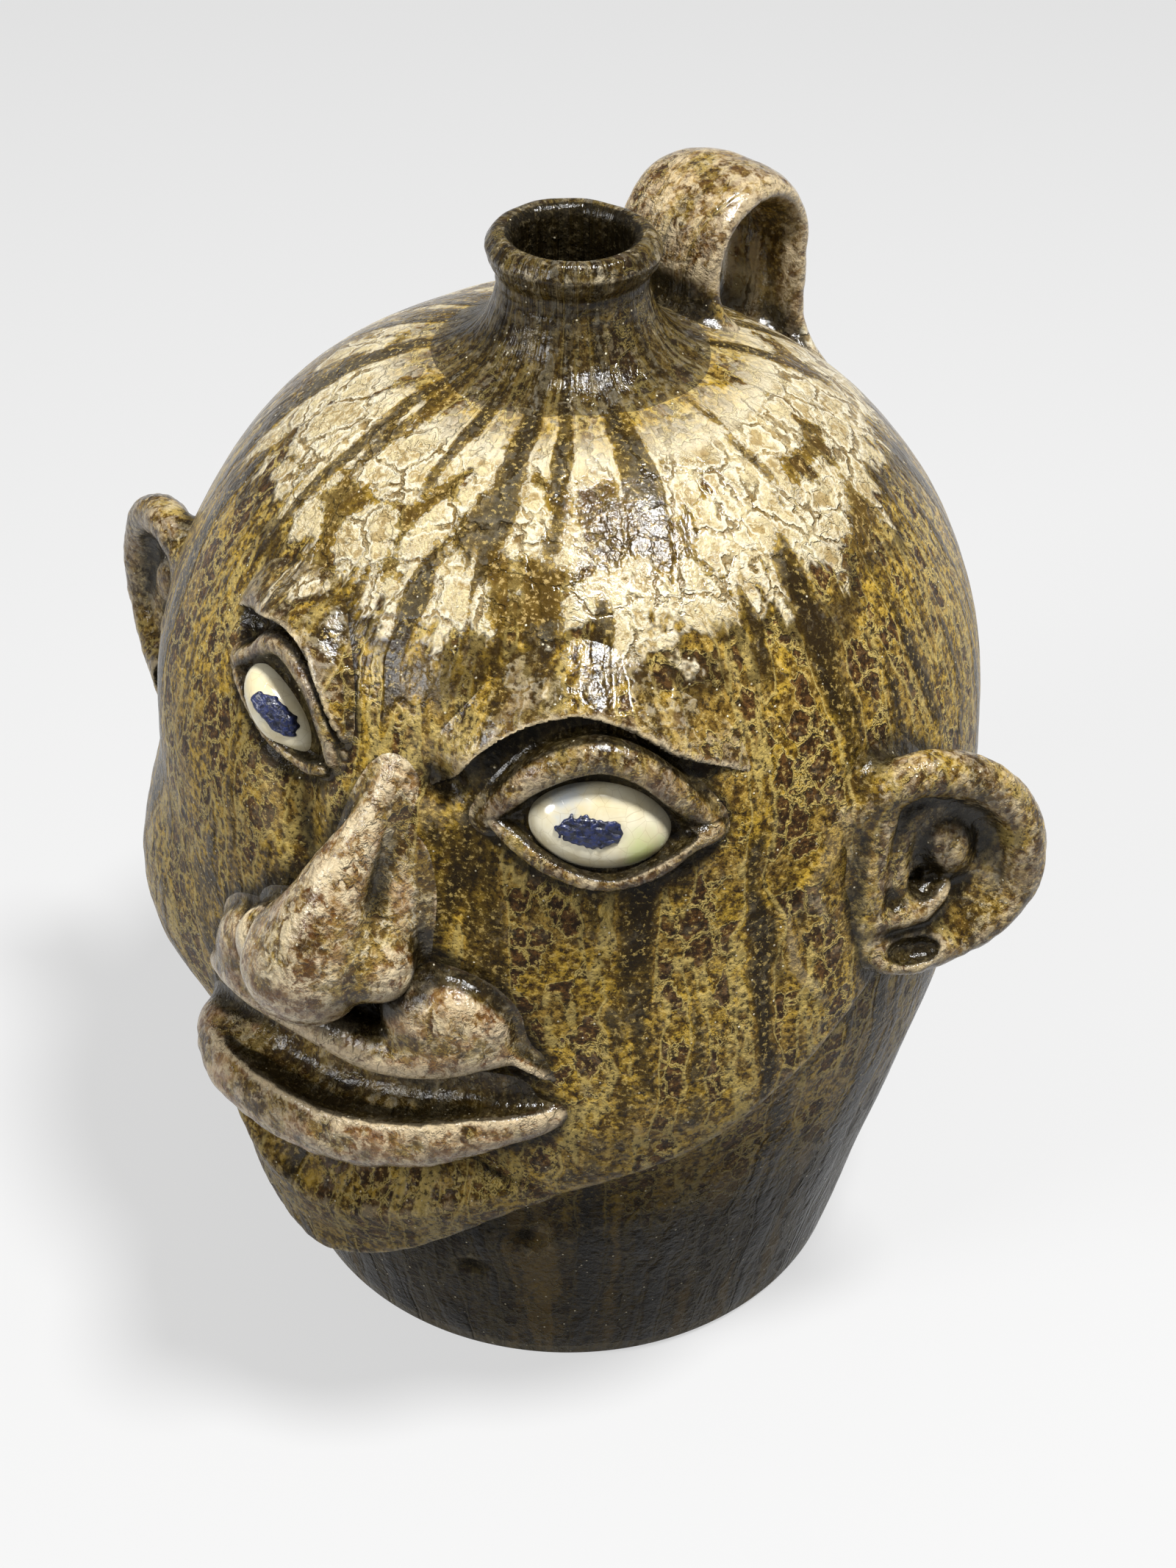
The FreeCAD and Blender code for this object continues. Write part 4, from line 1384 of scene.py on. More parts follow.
@dataclass
class Neck:
    """Neck with a flared foot, a waist and a rolled lip, bored through."""

    bore: float = 12.2
    base: float = 243.7
    outline: tuple = ((31.5, -0.3), (29.0, 0.1), (26.0, 0.75), (23.0, 1.9), (20.4, 3.8), (18.4, 6.4),
                      (17.0, 9.4), (16.2, 12.4), (15.9, 14.8), (16.1, 16.6), (16.9, 17.9), (17.9, 18.8),
                      (18.5, 20.2), (18.5, 21.8), (17.9, 23.4), (16.6, 24.7), (15.0, 25.2), (13.6, 24.8),
                      (12.6, 23.7), (12.2, 22.2), (12.3, 16.0), (12.5, 9.0), (12.3, 3.0), (12.2, -0.6))
    columns: int = 200

    def section(self) -> Array:
        """Closed line round the neck's wall, smoothed between its guide points.

        Returns:
            Rows of x, 0 and z in millimetres.
        """
        guide = np.array(self.outline)
        steps = np.concatenate([[0.0], np.cumsum(np.linalg.norm(np.diff(guide, axis=0), axis=1))])
        fine = np.linspace(0.0, steps[-1], 130)
        line = np.stack([np.interp(fine, steps, guide[:, axis]) for axis in (0, 1)], 1)
        for _ in range(14):
            line[1:-1] = 0.5 * line[1:-1] + 0.25 * (line[:-2] + line[2:])
        lengths = np.linspace(0.0, WALL.full_length(), 2000)
        radius, height, _ = WALL.at_length(lengths)
        crown = np.interp(line[:, 0], radius[::-1], height[::-1]) - self.base
        line[:, 1] += crown * (1.0 - smooth_step(line[:, 1], 2.0, 12.0))
        line = np.concatenate([line, [[18.0, -1.6], [29.0, -3.4], line[0]]])
        return np.stack([line[:, 0], np.zeros(len(line)), line[:, 1] + self.base], 1)

    def make(self, tree: bpy.types.NodeTree, material: bpy.types.Material) -> bpy.types.Object:
        """Throws the neck, with a slightly uneven lip.

        Args:
            tree: The tree that throws it.
            material: Its finish.

        Returns:
            The finished piece.
        """
        piece = line_object("neck_spout_clay", self.section())
        run_tree(piece, tree, {"Columns": self.columns, "Front Share": 0.0, "Glaze": material})
        points = mesh_points(piece.data)
        share = smooth_step(points[:, 2] - self.base, 3.0, 18.0)
        outside = smooth_step(np.hypot(points[:, 0], points[:, 1]), self.bore + 0.6, self.bore + 3.0)
        wobble = clay_noise(points, 34.0, 11) * 0.42 + clay_noise(points, 11.0, 12) * 0.16
        direction = points[:, :2] / np.hypot(points[:, 0], points[:, 1])[:, None]
        points[:, :2] += direction * (wobble * share * outside)[:, None]
        points[:, 2] += share * outside * clay_noise(points, 30.0, 13) * 0.4
        rings = 0.14 * np.sin(points[:, 2] * 1.9) * share * outside
        points[:, :2] += direction * rings[:, None]
        shape_mesh(piece.data, points, 10, 60.0)
        seat(piece, "ash_glaze", "neck_spout")
        return piece


@dataclass
class StrapHandle:
    """Pulled strap that climbs behind the neck, arches over and lands on the shoulder."""

    azimuth: float = 162.6
    arch_radius: float = 16.4
    arch_distance: float = 47.5
    arch_height: float = 248.2
    tilt: float = 12.4
    width: float = 28.4
    thickness: float = 8.9
    riser: tuple = (3.9, 22.0)
    leg: tuple = (6.8, 50.0)
    widening: float = 0.15
    fillet: float = 6.5
    shoulder_slope: float = 0.72
    stations: int = 150
    sides: int = 56

    def path(self) -> Array:
        """Middle line of the strap, from the crown over the arch to the shoulder.

        Returns:
            Rows of x, y and z in millimetres.
        """
        tilt = math.radians(self.tilt)
        near = np.array([-self.arch_radius * math.cos(tilt), self.arch_radius * math.sin(tilt)])
        spots = [near + (self.riser[0] * share ** 2, -self.riser[1] * share)
                 for share in (1.0, 0.75, 0.5, 0.25)]
        for angle in np.linspace(tilt, math.pi + tilt, 11):
            spots.append((-self.arch_radius * math.cos(angle), self.arch_radius * math.sin(angle)))
        spots += [(self.leg[0] * share ** 2, -self.leg[1] * share) - near
                  for share in (0.2, 0.4, 0.6, 0.8, 1.0)]
        away, up = np.array(spots).T
        distance = self.arch_distance + away
        at = math.radians(self.azimuth)
        return np.stack([distance * math.sin(at), -distance * math.cos(at), self.arch_height + up], 1)

    def flared(self, middle: Array, offset: Array) -> Array:
        """Smears the feet out over the wall, and slides what stands off it back down.

        Args:
            middle: Middle of each ring of the strap, in millimetres.
            offset: Places of the rings' points from their middles.

        Returns:
            The new offsets.
        """
        def wall_at(shifts: Array) -> Array:
            """Distances of the rings' points from the wall."""
            return WALL.distance((middle + shifts).reshape(-1, 3)).reshape(shifts.shape[:2])

        wall = wall_at(offset)
        short = self.fillet - np.clip(wall, 0.0, self.fillet)
        flare = self.fillet - np.sqrt(np.maximum(self.fillet ** 2 - short ** 2, 0.0))
        length = np.linalg.norm(offset, axis=2, keepdims=True)
        offset = offset * (1.0 + flare[..., None] / length)
        risen = (wall_at(offset) - wall) * flare / self.fillet
        drop = np.clip(risen, 0.0, self.fillet) / self.shoulder_slope
        return offset - drop[..., None] * np.array((0.0, 0.0, 1.0))

    def grooved(self, middle: Array, offset: Array, side: Array, share: Array) -> Array:
        """Draws the marks of three fingers down the inner side of the leg.

        Args:
            middle: Middle of each ring of the strap, in millimetres.
            offset: Places of the rings' points from their middles.
            side: How far each point lies across the strap.
            share: How far along the strap each ring lies.

        Returns:
            The new offsets.
        """
        inner = smooth_step(-(offset * (middle - middle[self.stations // 3])).sum(2), 0.0, 30.0)
        groove = sum(np.exp(-((side - spot) / 2.2) ** 2) for spot in (-7.5, 0.0, 7.5))
        narrow = np.abs(side) / (0.5 * self.width) < 0.9
        return offset * (1.0 - 0.16 * groove * inner * smooth_step(share, 0.45, 0.62) * narrow)[..., None]

    def make(self, tree: bpy.types.NodeTree, material: bpy.types.Material) -> bpy.types.Object:
        """Pulls the strap, presses its feet on and draws finger grooves down its inner side.

        Args:
            tree: The tree that pulls it.
            material: Its finish.

        Returns:
            The finished piece.
        """
        at = math.radians(self.azimuth)
        across = Vector((math.cos(at), math.sin(at), 0.0))
        piece = line_object("strap_handle_clay", self.path())
        run_tree(piece, tree, {"Width": self.width * MM, "Thickness": self.thickness * MM,
                               "Stations": self.stations, "Sides": self.sides, "Across": across,
                               "Glaze": material})
        rings = mesh_points(piece.data).reshape(self.stations, self.sides, 3)
        middle = rings.mean(1, keepdims=True)
        share = np.linspace(0.0, 1.0, self.stations)[:, None]
        offset = rings - middle
        side = offset @ np.array(across)
        swell = self.widening * smooth_step(share, 0.55, 1.0)
        offset = offset + (side * swell)[..., None] * np.array(across)
        offset = self.grooved(middle, self.flared(middle, offset), side, share)
        points = (middle + offset).reshape(-1, 3)
        normal = offset.reshape(-1, 3) / np.linalg.norm(offset.reshape(-1, 3), axis=1)[:, None]
        uneven = 0.35 * clay_noise(points, 22.0, 21) + 0.14 * clay_noise(points, 8.0, 22)
        shape_mesh(piece.data, points + normal * uneven[:, None], 16, 60.0)
        seat(piece, "ash_glaze", "strap_handle")
        return piece


def tone(red: int, green: int, blue: int) -> tuple:
    """Colour as a shader takes it, from the values of a colour chart.

    Args:
        red: Red, from 0 to 255.
        green: Green, from 0 to 255.
        blue: Blue, from 0 to 255.

    Returns:
        Linear red, green, blue and alpha.
    """
    def linear(value: float) -> float:
        """Linear light of one channel."""
        share = value / 255.0
        return share / 12.92 if share <= 0.04045 else ((share + 0.055) / 1.055) ** 2.4
    return linear(red), linear(green), linear(blue), 1.0


def jug_space_group() -> bpy.types.NodeTree:
    """Group that gives places on the jug: round the wall, up the wall, and how far round.

    Returns:
        The group.
    """
    tree = bpy.data.node_groups.new("jug_space", "ShaderNodeTree")
    declare(tree, "OUTPUT", {"Around": "Vector", "Solid": "Vector", "Height": "Float", "Azimuth": "Float"})
    lay = Nodes(tree)
    solid = lay.vector("SCALE", lay.places(), CENTIMETRES)
    x, y, z = lay.add("ShaderNodeSeparateXYZ", {0: solid}).outputs
    reach = lay.math("SQRT", lay.plus(lay.times(x, x), lay.times(y, y)))
    reach = lay.most(reach, 0.5)
    level = lay.minus(z, 13.0)
    climb = lay.times(lay.math("ARCTAN2", level, reach), 10.0)
    around = lay.add("ShaderNodeCombineXYZ", {
        0: lay.times(lay.math("DIVIDE", x, reach), 9.6),
        1: lay.times(lay.math("DIVIDE", y, reach), 9.6), 2: climb}).outputs[0]
    azimuth = lay.math("ARCTAN2", x, lay.times(y, -1.0))
    lay.add("NodeGroupOutput", {0: around, 1: solid, 2: z, 3: azimuth})
    return tree


def voronoi(lay: Nodes, vector: object, scale: float, feature: str = "F1") -> bpy.types.Node:
    """Adds a Voronoi Texture node."""
    return lay.add("ShaderNodeTexVoronoi", {"Vector": vector, "Scale": scale}, feature=feature)


class AshPaint:
    """Shared paint of the ash glaze: dark runs, gold lobes, brown blotches and milky patches.

    Its steps run in order, and each keeps the masks that later ones need.
    """

    def __init__(self, space: bpy.types.NodeTree) -> None:
        """Starts the group and reads the places on the jug and the painted layers.

        Args:
            space: The group that gives places on the jug.
        """
        self.tree = bpy.data.node_groups.new("ash_runs", "ShaderNodeTree")
        declare(self.tree, "INPUT", {"Rust": ("Float", 0.0), "Cream": ("Float", 0.0),
                                     "Shade": ("Float", 0.0), "Runs": ("Float", 1.0),
                                     "Waist": ("Float", 0.0), "Low": ("Float", 1.0)})
        declare(self.tree, "OUTPUT", {"Color": "Color", "Roughness": "Float", "Height": "Float",
                                      "Coat": "Float"})
        self.lay = Nodes(self.tree)
        self.given = self.lay.add("NodeGroupInput").outputs
        at = self.lay.add("ShaderNodeGroup", node_tree=space).outputs
        self.around, self.solid, self.height, self.azimuth = (
            at[name] for name in ("Around", "Solid", "Height", "Azimuth"))
        self.breaks = self.lay.layer("glaze_break")
        # painted shade under other clay and in the bore, with pooled glaze on ledges
        self.pool_shade = self.lay.layer("glaze_pool")

    def drift(self, vector: object, scale: float, reach: float) -> object:
        """Soft sideways shifts that bend a pattern.

        Args:
            vector: Places to read the shifts at.
            scale: Fineness of the shifts.
            reach: How far they go.

        Returns:
            The shifts, as vectors.
        """
        cloud = self.lay.add("ShaderNodeTexNoise", {"Vector": vector, "Scale": scale, "Detail": 2.0})
        middle = self.lay.vector("SUBTRACT", cloud.outputs["Color"], (0.5, 0.5, 0.5))
        return self.lay.vector("SCALE", middle, reach)

    def flow(self) -> None:
        """Finds where the glaze ran down the wall, in thin runs and in heavy ones."""
        lay = self.lay
        self.wander = self.drift(self.around, 0.45, 0.9)
        self.loose = lay.vector("ADD", self.around, self.wander)
        drawn = lay.vector("MULTIPLY", self.loose, (1.0, 1.0, 0.13))
        runs = lay.noise(drawn, 1.05, 2.0, 0.5)
        broad = lay.noise(drawn, 0.42, 2.0, 0.5)
        self.breakup = lay.noise(self.loose, 1.3, 3.0, 0.6)
        self.wide = lay.noise(self.loose, 0.55, 2.0)
        crown = lay.ramp(self.height, 21.8, 23.2)
        runs = lay.plus(runs, lay.times(crown, lay.minus(broad, runs)))
        self.runs = lay.sway(runs, self.breakup, 0.20)
        self.run = lay.times(lay.ramp(self.runs, 0.525, 0.60), self.given["Runs"])
        self.heavy = lay.times(lay.ramp(self.runs, 0.585, 0.65), self.given["Runs"])

    def grain(self) -> None:
        """Finds the fine mottling, the pale and the dark flecks, and the curls."""
        lay = self.lay
        self.fine = lay.noise(self.solid, 5.0, 4.0, 0.6)
        self.fleck = lay.noise(self.solid, 8.5, 4.0, 0.68)
        self.light = lay.ramp(self.fleck, 0.55, 0.63)
        self.dark = lay.ramp(self.fleck, 0.465, 0.39)
        self.jitter = self.drift(self.solid, 5.5, 0.30)
        self.torn = lay.vector("MULTIPLY", lay.vector("ADD", self.solid, self.jitter), (1.0, 1.0, 0.72))
        self.curls = lay.noise(self.torn, 3.4, 4.0, 0.62, 0.9)

    def blotches(self) -> None:
        """Finds the brown blotches between the runs, and the pale rings round them."""
        lay = self.lay
        edge = voronoi(lay, self.torn, 2.1, "DISTANCE_TO_EDGE").outputs["Distance"]
        pick = voronoi(lay, self.torn, 2.1).outputs["Color"]
        pick = lay.add("ShaderNodeSeparateColor", {0: pick}).outputs[0]
        lobes = lay.minus(1.0, lay.ramp(self.runs, 0.44, 0.52))
        chain = lay.times(lay.ramp(lay.plus(pick, lay.times(self.breakup, 0.4)), 0.54, 0.62), lobes)
        self.blotch = lay.times(chain, lay.ramp(edge, 0.055, 0.095))
        ring = lay.times(lay.times(lay.ramp(edge, 0.0, 0.03), lay.ramp(edge, 0.11, 0.05)), chain)
        shore = lay.times(lay.ramp(self.runs, 0.462, 0.485), lay.ramp(self.runs, 0.522, 0.50))
        self.ring = lay.most(ring, lay.times(shore, 0.75))

    def ground(self) -> None:
        """Paints the gold ground with its blotches, rings, runs and flecks, and the rusty clay."""
        lay = self.lay
        gold = lay.blend(self.fine, 0.40, 0.62, tone(80, 57, 11), tone(184, 150, 54))
        dull = lay.blend(self.fine, 0.4, 0.6, tone(92, 68, 22), tone(156, 126, 56))
        brown = lay.blend(self.fine, 0.4, 0.62, tone(50, 33, 15), tone(96, 66, 32))
        color = lay.mix(self.blotch, lay.blend(self.wide, 0.42, 0.62, gold, dull), brown)
        for share, strength, tint in ((self.ring, 0.85, tone(190, 168, 100)),
                                      (self.run, 0.88, tone(64, 48, 10)),
                                      (self.heavy, 0.85, tone(30, 21, 5)),
                                      (self.light, 0.55, tone(206, 178, 104)),
                                      (self.dark, 0.85, tone(34, 23, 7))):
            color = lay.tint(color, share, strength, tint)
        worn = lay.blend(self.breakup, 0.40, 0.60, tone(74, 52, 16), tone(158, 127, 58))
        worn = lay.tint(worn, lay.ramp(self.runs, 0.50, 0.56), 0.6, tone(70, 50, 22))
        worn = lay.tint(worn, self.light, 0.40, tone(206, 184, 130))
        worn = lay.tint(worn, self.dark, 0.6, tone(46, 33, 15))
        self.color = lay.mix(lay.times(self.given["Rust"], 1.4, clamp=True), color, worn)

    def patches(self) -> None:
        """Finds the milky patches of the crown, what parts them, and the dark band below them."""
        lay = self.lay
        ragged = lay.sway(lay.sway(self.height, self.wide, 2.6), self.breakup, 2.4)
        front = lay.math("COSINE", lay.minus(self.azimuth, 0.35))
        ragged = lay.plus(ragged, lay.times(lay.ramp(front, 0.1, 0.9), 0.6))
        self.dome = lay.times(lay.ramp(ragged, 22.0, 22.3), lay.ramp(self.height, 24.4, 23.6))
        band = lay.times(lay.ramp(ragged, 21.1, 21.8), lay.ramp(ragged, 22.25, 22.0))
        band = lay.times(band, lay.ramp(self.breakup, 0.38, 0.50))
        color = lay.tint(self.color, band, 0.75, tone(44, 31, 8))
        pulled = lay.vector("ADD", lay.vector("ADD", self.solid, self.wander), self.jitter)
        pulled = lay.vector("MULTIPLY", pulled, (1.0, 1.0, 0.65))
        near = voronoi(lay, pulled, 0.74).outputs["Distance"]
        near = lay.sway(lay.sway(near, self.fine, 0.30), self.fleck, 0.20)
        seams = voronoi(lay, pulled, 1.15, "DISTANCE_TO_EDGE").outputs["Distance"]
        self.seams = lay.sway(seams, self.fine, 0.12)
        self.seam = lay.times(lay.ramp(self.seams, 0.055, 0.015), lay.ramp(self.breakup, 0.40, 0.55))
        earth = lay.mix(self.light, tone(84, 63, 20), tone(176, 150, 96))
        self.color = lay.tint(color, lay.times(self.dome, lay.ramp(near, 0.66, 0.80)), 0.8, earth)
        parting = lay.ramp(lay.sway(self.runs, self.fleck, 0.12), 0.535, 0.565)
        parted = lay.minus(1.0, lay.times(parting, 0.9))
        patch = lay.times(lay.times(self.dome, parted), lay.ramp(near, 0.73, 0.65))
        speckle = lay.ramp(lay.plus(self.fine, self.breakup), 0.98, 1.1)
        self.patch = lay.most(patch, lay.times(speckle, self.given["Cream"]))

    def cream(self) -> None:
        """Paints the patches: curled cream with crazed seams and a pale rim."""
        lay, curls, seams, patch = self.lay, self.curls, self.seams, self.patch
        curl = lay.times(lay.ramp(curls, 0.47, 0.495), lay.ramp(curls, 0.53, 0.505))
        cream = lay.blend(curls, 0.35, 0.62, tone(172, 148, 100), tone(218, 202, 158))
        cream = lay.tint(cream, curl, 0.7, tone(236, 224, 192))
        cream = lay.tint(cream, self.dark, 0.35, tone(140, 112, 66))
        cream = lay.tint(cream, self.seam, 0.75, tone(112, 86, 40))
        bank = lay.times(lay.ramp(seams, 0.16, 0.07), lay.ramp(seams, 0.05, 0.07))
        cream = lay.mix(bank, cream, tone(238, 228, 200))
        rim = lay.times(lay.times(lay.ramp(patch, 0.25, 0.55), lay.ramp(patch, 0.98, 0.8)), self.dome)
        cream = lay.mix(rim, cream, tone(238, 226, 194))
        self.color = lay.tint(self.color, patch, 0.92, cream)

    def dark_places(self) -> None:
        """Darkens the lower wall, and lays a painted shadow under the lip on the waist of the neck."""
        lay = self.lay
        low = lay.ramp(lay.plus(self.height, lay.times(self.wide, 2.0)), 11.5, 6.5)
        streaks = lay.sway(self.runs, self.fleck, 0.3)
        bottom = lay.blend(streaks, 0.42, 0.34, tone(13, 9, 3), tone(72, 57, 24))
        color = lay.tint(self.color, lay.times(low, self.given["Low"]), 0.92, bottom)
        # painted shadow of the neck's lip on its waist
        self.shadow = lay.times(self.given["Waist"], lay.ramp(self.height, 23.5, 24.4))
        self.color = lay.mix(lay.most(self.given["Shade"], self.shadow), color, tone(30, 22, 10))

    def breaks_pooling_shade_and_glints(self) -> None:
        """Lets rust and cream break through on ridges, the cream partly a painted highlight; darkens
        hollows and places under other clay, partly as pooled glaze and partly as painted shade; adds pale
        specks, partly crystals and partly painted glints.
        """
        lay = self.lay
        bare = lay.ramp(lay.sway(self.breaks, self.breakup, 1.2), 0.05, 0.35)
        rusty = lay.times(bare, lay.times(self.given["Rust"], 1.3), clamp=True)
        rust = lay.blend(self.curls, 0.42, 0.6, tone(112, 62, 30), tone(170, 118, 80))
        color = lay.mix(rusty, self.color, rust)
        # cream on ridges: partly the glaze breaking pale, partly a painted highlight
        crest_cream_and_highlight = lay.ramp(lay.sway(self.breaks, self.curls, 1.3), 0.14, 0.46)
        crest_cream_and_highlight = lay.times(crest_cream_and_highlight, lay.plus(0.12, lay.times(self.given["Cream"], 1.5)), clamp=True)
        color = lay.tint(color, crest_cream_and_highlight, 0.88, tone(224, 207, 170))
        # hollows and places under other clay darken: partly pooled glaze, partly painted shade
        sunk = lay.minus(lay.times(lay.minus(self.fine, 0.5), 0.25), self.breaks)
        sunk = lay.most(lay.ramp(sunk, 0.12, 0.60), lay.ramp(self.pool_shade, 0.07, 0.34))
        pooled_shade_tone = lay.mix(self.light, tone(24, 19, 9), tone(66, 58, 40))
        color = lay.tint(color, sunk, 0.9, pooled_shade_tone)
        # pale specks: partly crystals, partly painted glints
        grains = voronoi(lay, self.solid, 7.5).outputs
        seeds = lay.add("ShaderNodeSeparateColor", {0: grains["Color"]}).outputs[1]
        self.speck_and_glint = lay.times(lay.ramp(grains["Distance"], 0.24, 0.12), lay.ramp(seeds, 0.93, 0.96))
        self.color = lay.mix(self.speck_and_glint, color, tone(240, 228, 196))

    def gloss(self) -> tuple:
        """Works out how rough the glaze is and how much clear gloss lies on it.

        Returns:
            The roughness and the weight of the coat.
        """
        lay = self.lay
        rough = lay.plus(0.24, lay.times(self.blotch, 0.14))
        rough = lay.plus(rough, lay.times(self.patch, 0.16))
        rough = lay.minus(rough, lay.times(self.run, 0.07))
        rough = lay.sway(rough, self.fine, 0.12)
        coat = lay.plus(lay.times(lay.ramp(self.height, 8.0, 13.0), 0.11), 0.02)
        coat = lay.plus(coat, lay.times(self.given["Cream"], 1.1))
        coat = lay.plus(coat, lay.times(lay.ramp(self.height, 18.0, 22.0), 0.45))
        coat = lay.times(coat, lay.minus(1.0, lay.times(self.shadow, 0.75)))
        return rough, coat

    def relief(self) -> object:
        """Adds up how far each part of the glaze stands up.

        Returns:
            The height for the bump.
        """
        lay = self.lay
        rise = lay.times(lay.minus(self.fine, 0.5), 0.55)
        for part, amount in ((self.run, 0.45), (self.fleck, 0.5), (self.breakup, 1.2),
                             (self.blotch, -0.30), (self.ring, 0.20),
                             (lay.times(self.curls, self.patch), 0.9),
                             (lay.times(self.seam, self.dome), -0.8), (self.speck_and_glint, 0.6)):
            rise = lay.plus(rise, lay.times(part, amount))
        return rise

    def build(self) -> bpy.types.NodeTree:
        """Runs every step and closes the group.

        Returns:
            The group.
        """
        for step in (self.flow, self.grain, self.blotches, self.ground, self.patches, self.cream,
                     self.dark_places, self.breaks_pooling_shade_and_glints):
            step()
        rough, coat = self.gloss()
        self.lay.add("NodeGroupOutput", {0: self.color, 1: rough, 2: self.relief(), 3: coat})
        return self.tree


def new_material(name: str) -> tuple:
    """Starts an empty material.

    Args:
        name: Name of the material.

    Returns:
        The material, and a helper that fills its tree.
    """
    material = bpy.data.materials.new(name)
    material.use_nodes = True
    material.node_tree.nodes.clear()
    return material, Nodes(material.node_tree)


@dataclass(frozen=True)
class AshGlaze:
    """Running ash glaze, and how rusty, pale and dark it comes out on one kind of clay."""

    name: str = "ash_glaze_body"
    rust: float = 0.0
    cream: float = 0.0
    shade: float = 0.0
    runs: float = 1.0
    # strength of the painted shadow under the neck's lip, on its waist
    waist: float = 0.0
    low: float = 1.0
    relief: float = 0.8

    def make(self, paint: bpy.types.NodeTree) -> bpy.types.Material:
        """Builds the glaze's material around the shared paint.

        Args:
            paint: The group that paints the glaze.

        Returns:
            The material.
        """
        material, lay = new_material(self.name)
        ash = lay.add("ShaderNodeGroup", node_tree=paint)
        for name, value in (("Rust", self.rust), ("Cream", self.cream), ("Shade", self.shade),
                            ("Runs", self.runs), ("Waist", self.waist), ("Low", self.low)):
            ash.inputs[name].default_value = value
        bump = lay.bump(ash.outputs["Height"], self.relief, 0.0018)
        sheen = lay.bump(ash.outputs["Height"], 0.22, 0.0012)
        shader = lay.add("ShaderNodeBsdfPrincipled", {
            "Base Color": ash.outputs["Color"], "Roughness": ash.outputs["Roughness"], "Normal": bump,
            "Specular IOR Level": 0.03, "Coat Weight": ash.outputs["Coat"], "Coat Roughness": 0.07,
            "Coat Normal": sheen})
        lay.add("ShaderNodeOutputMaterial", {0: shader.outputs[0]})
        return material


@dataclass(frozen=True)
class PaleGlaze:
    """Glossy cream glaze of the eyeballs, with crackle, a blue bleed and a greenish pool."""

    name: str = "pale_eye_glaze"

    def make(self, stains: tuple) -> bpy.types.Material:
        """Builds the glaze.

        Args:
            stains: World places in metres, radii in metres and colours of the stains.

        Returns:
            The material.
        """
        material, lay = new_material(self.name)
        place = lay.places()
        solid = lay.vector("SCALE", place, CENTIMETRES)
        cloud = lay.noise(solid, 1.6, 3.0)
        color = lay.mix(lay.ramp(cloud, 0.35, 0.7), tone(232, 224, 196), tone(214, 200, 160))
        for spot, radius, stain, depth in stains:
            away = lay.add("ShaderNodeVectorMath", {0: place, 1: spot}, operation="DISTANCE")
            away = lay.sway(away.outputs["Value"], cloud, radius * 1.6)
            share = lay.times(lay.ramp(away, radius, radius * 0.25), depth)
            color = lay.mix(share, color, stain)
        lines = voronoi(lay, solid, 3.4, "DISTANCE_TO_EDGE").outputs["Distance"]
        crackle = lay.times(lay.ramp(lines, 0.022, 0.004), 0.28)
        color = lay.mix(crackle, color, tone(150, 128, 92))
        height = lay.minus(lay.times(cloud, 0.5), lay.times(crackle, 0.3))
        bump = lay.bump(height, 0.25, 0.0008)
        rough = lay.plus(0.16, lay.times(cloud, 0.08))
        shader = lay.add("ShaderNodeBsdfPrincipled", {
            "Base Color": color, "Roughness": rough, "Normal": bump, "Coat Weight": 0.6,
            "Coat Roughness": 0.06, "IOR": 1.5})
        lay.add("ShaderNodeOutputMaterial", {0: shader.outputs[0]})
        return material


@dataclass(frozen=True)
class CobaltGlaze:
    """Thick rough cobalt of the pupils, nearly black in its hollows."""

    name: str = "cobalt_glaze"

    def make(self) -> bpy.types.Material:
        """Builds the glaze.

        Returns:
            The material.
        """
        material, lay = new_material(self.name)
        solid = lay.vector("SCALE", lay.places(), CENTIMETRES)
        cloud = lay.noise(solid, 9.0, 4.0, 0.6, 0.6)
        breaks = lay.layer("glaze_break")
        share = lay.plus(lay.ramp(cloud, 0.38, 0.66), lay.times(breaks, 0.6), clamp=True)
        color = lay.mix(share, tone(10, 13, 28), tone(30, 42, 88))
        bump = lay.bump(cloud, 0.7, 0.0006)
        rough = lay.plus(0.22, lay.times(cloud, 0.2))
        shader = lay.add("ShaderNodeBsdfPrincipled", {"Base Color": color, "Roughness": rough,
                                                      "Normal": bump, "Coat Weight": 0.3})
        lay.add("ShaderNodeOutputMaterial", {0: shader.outputs[0]})
        return material


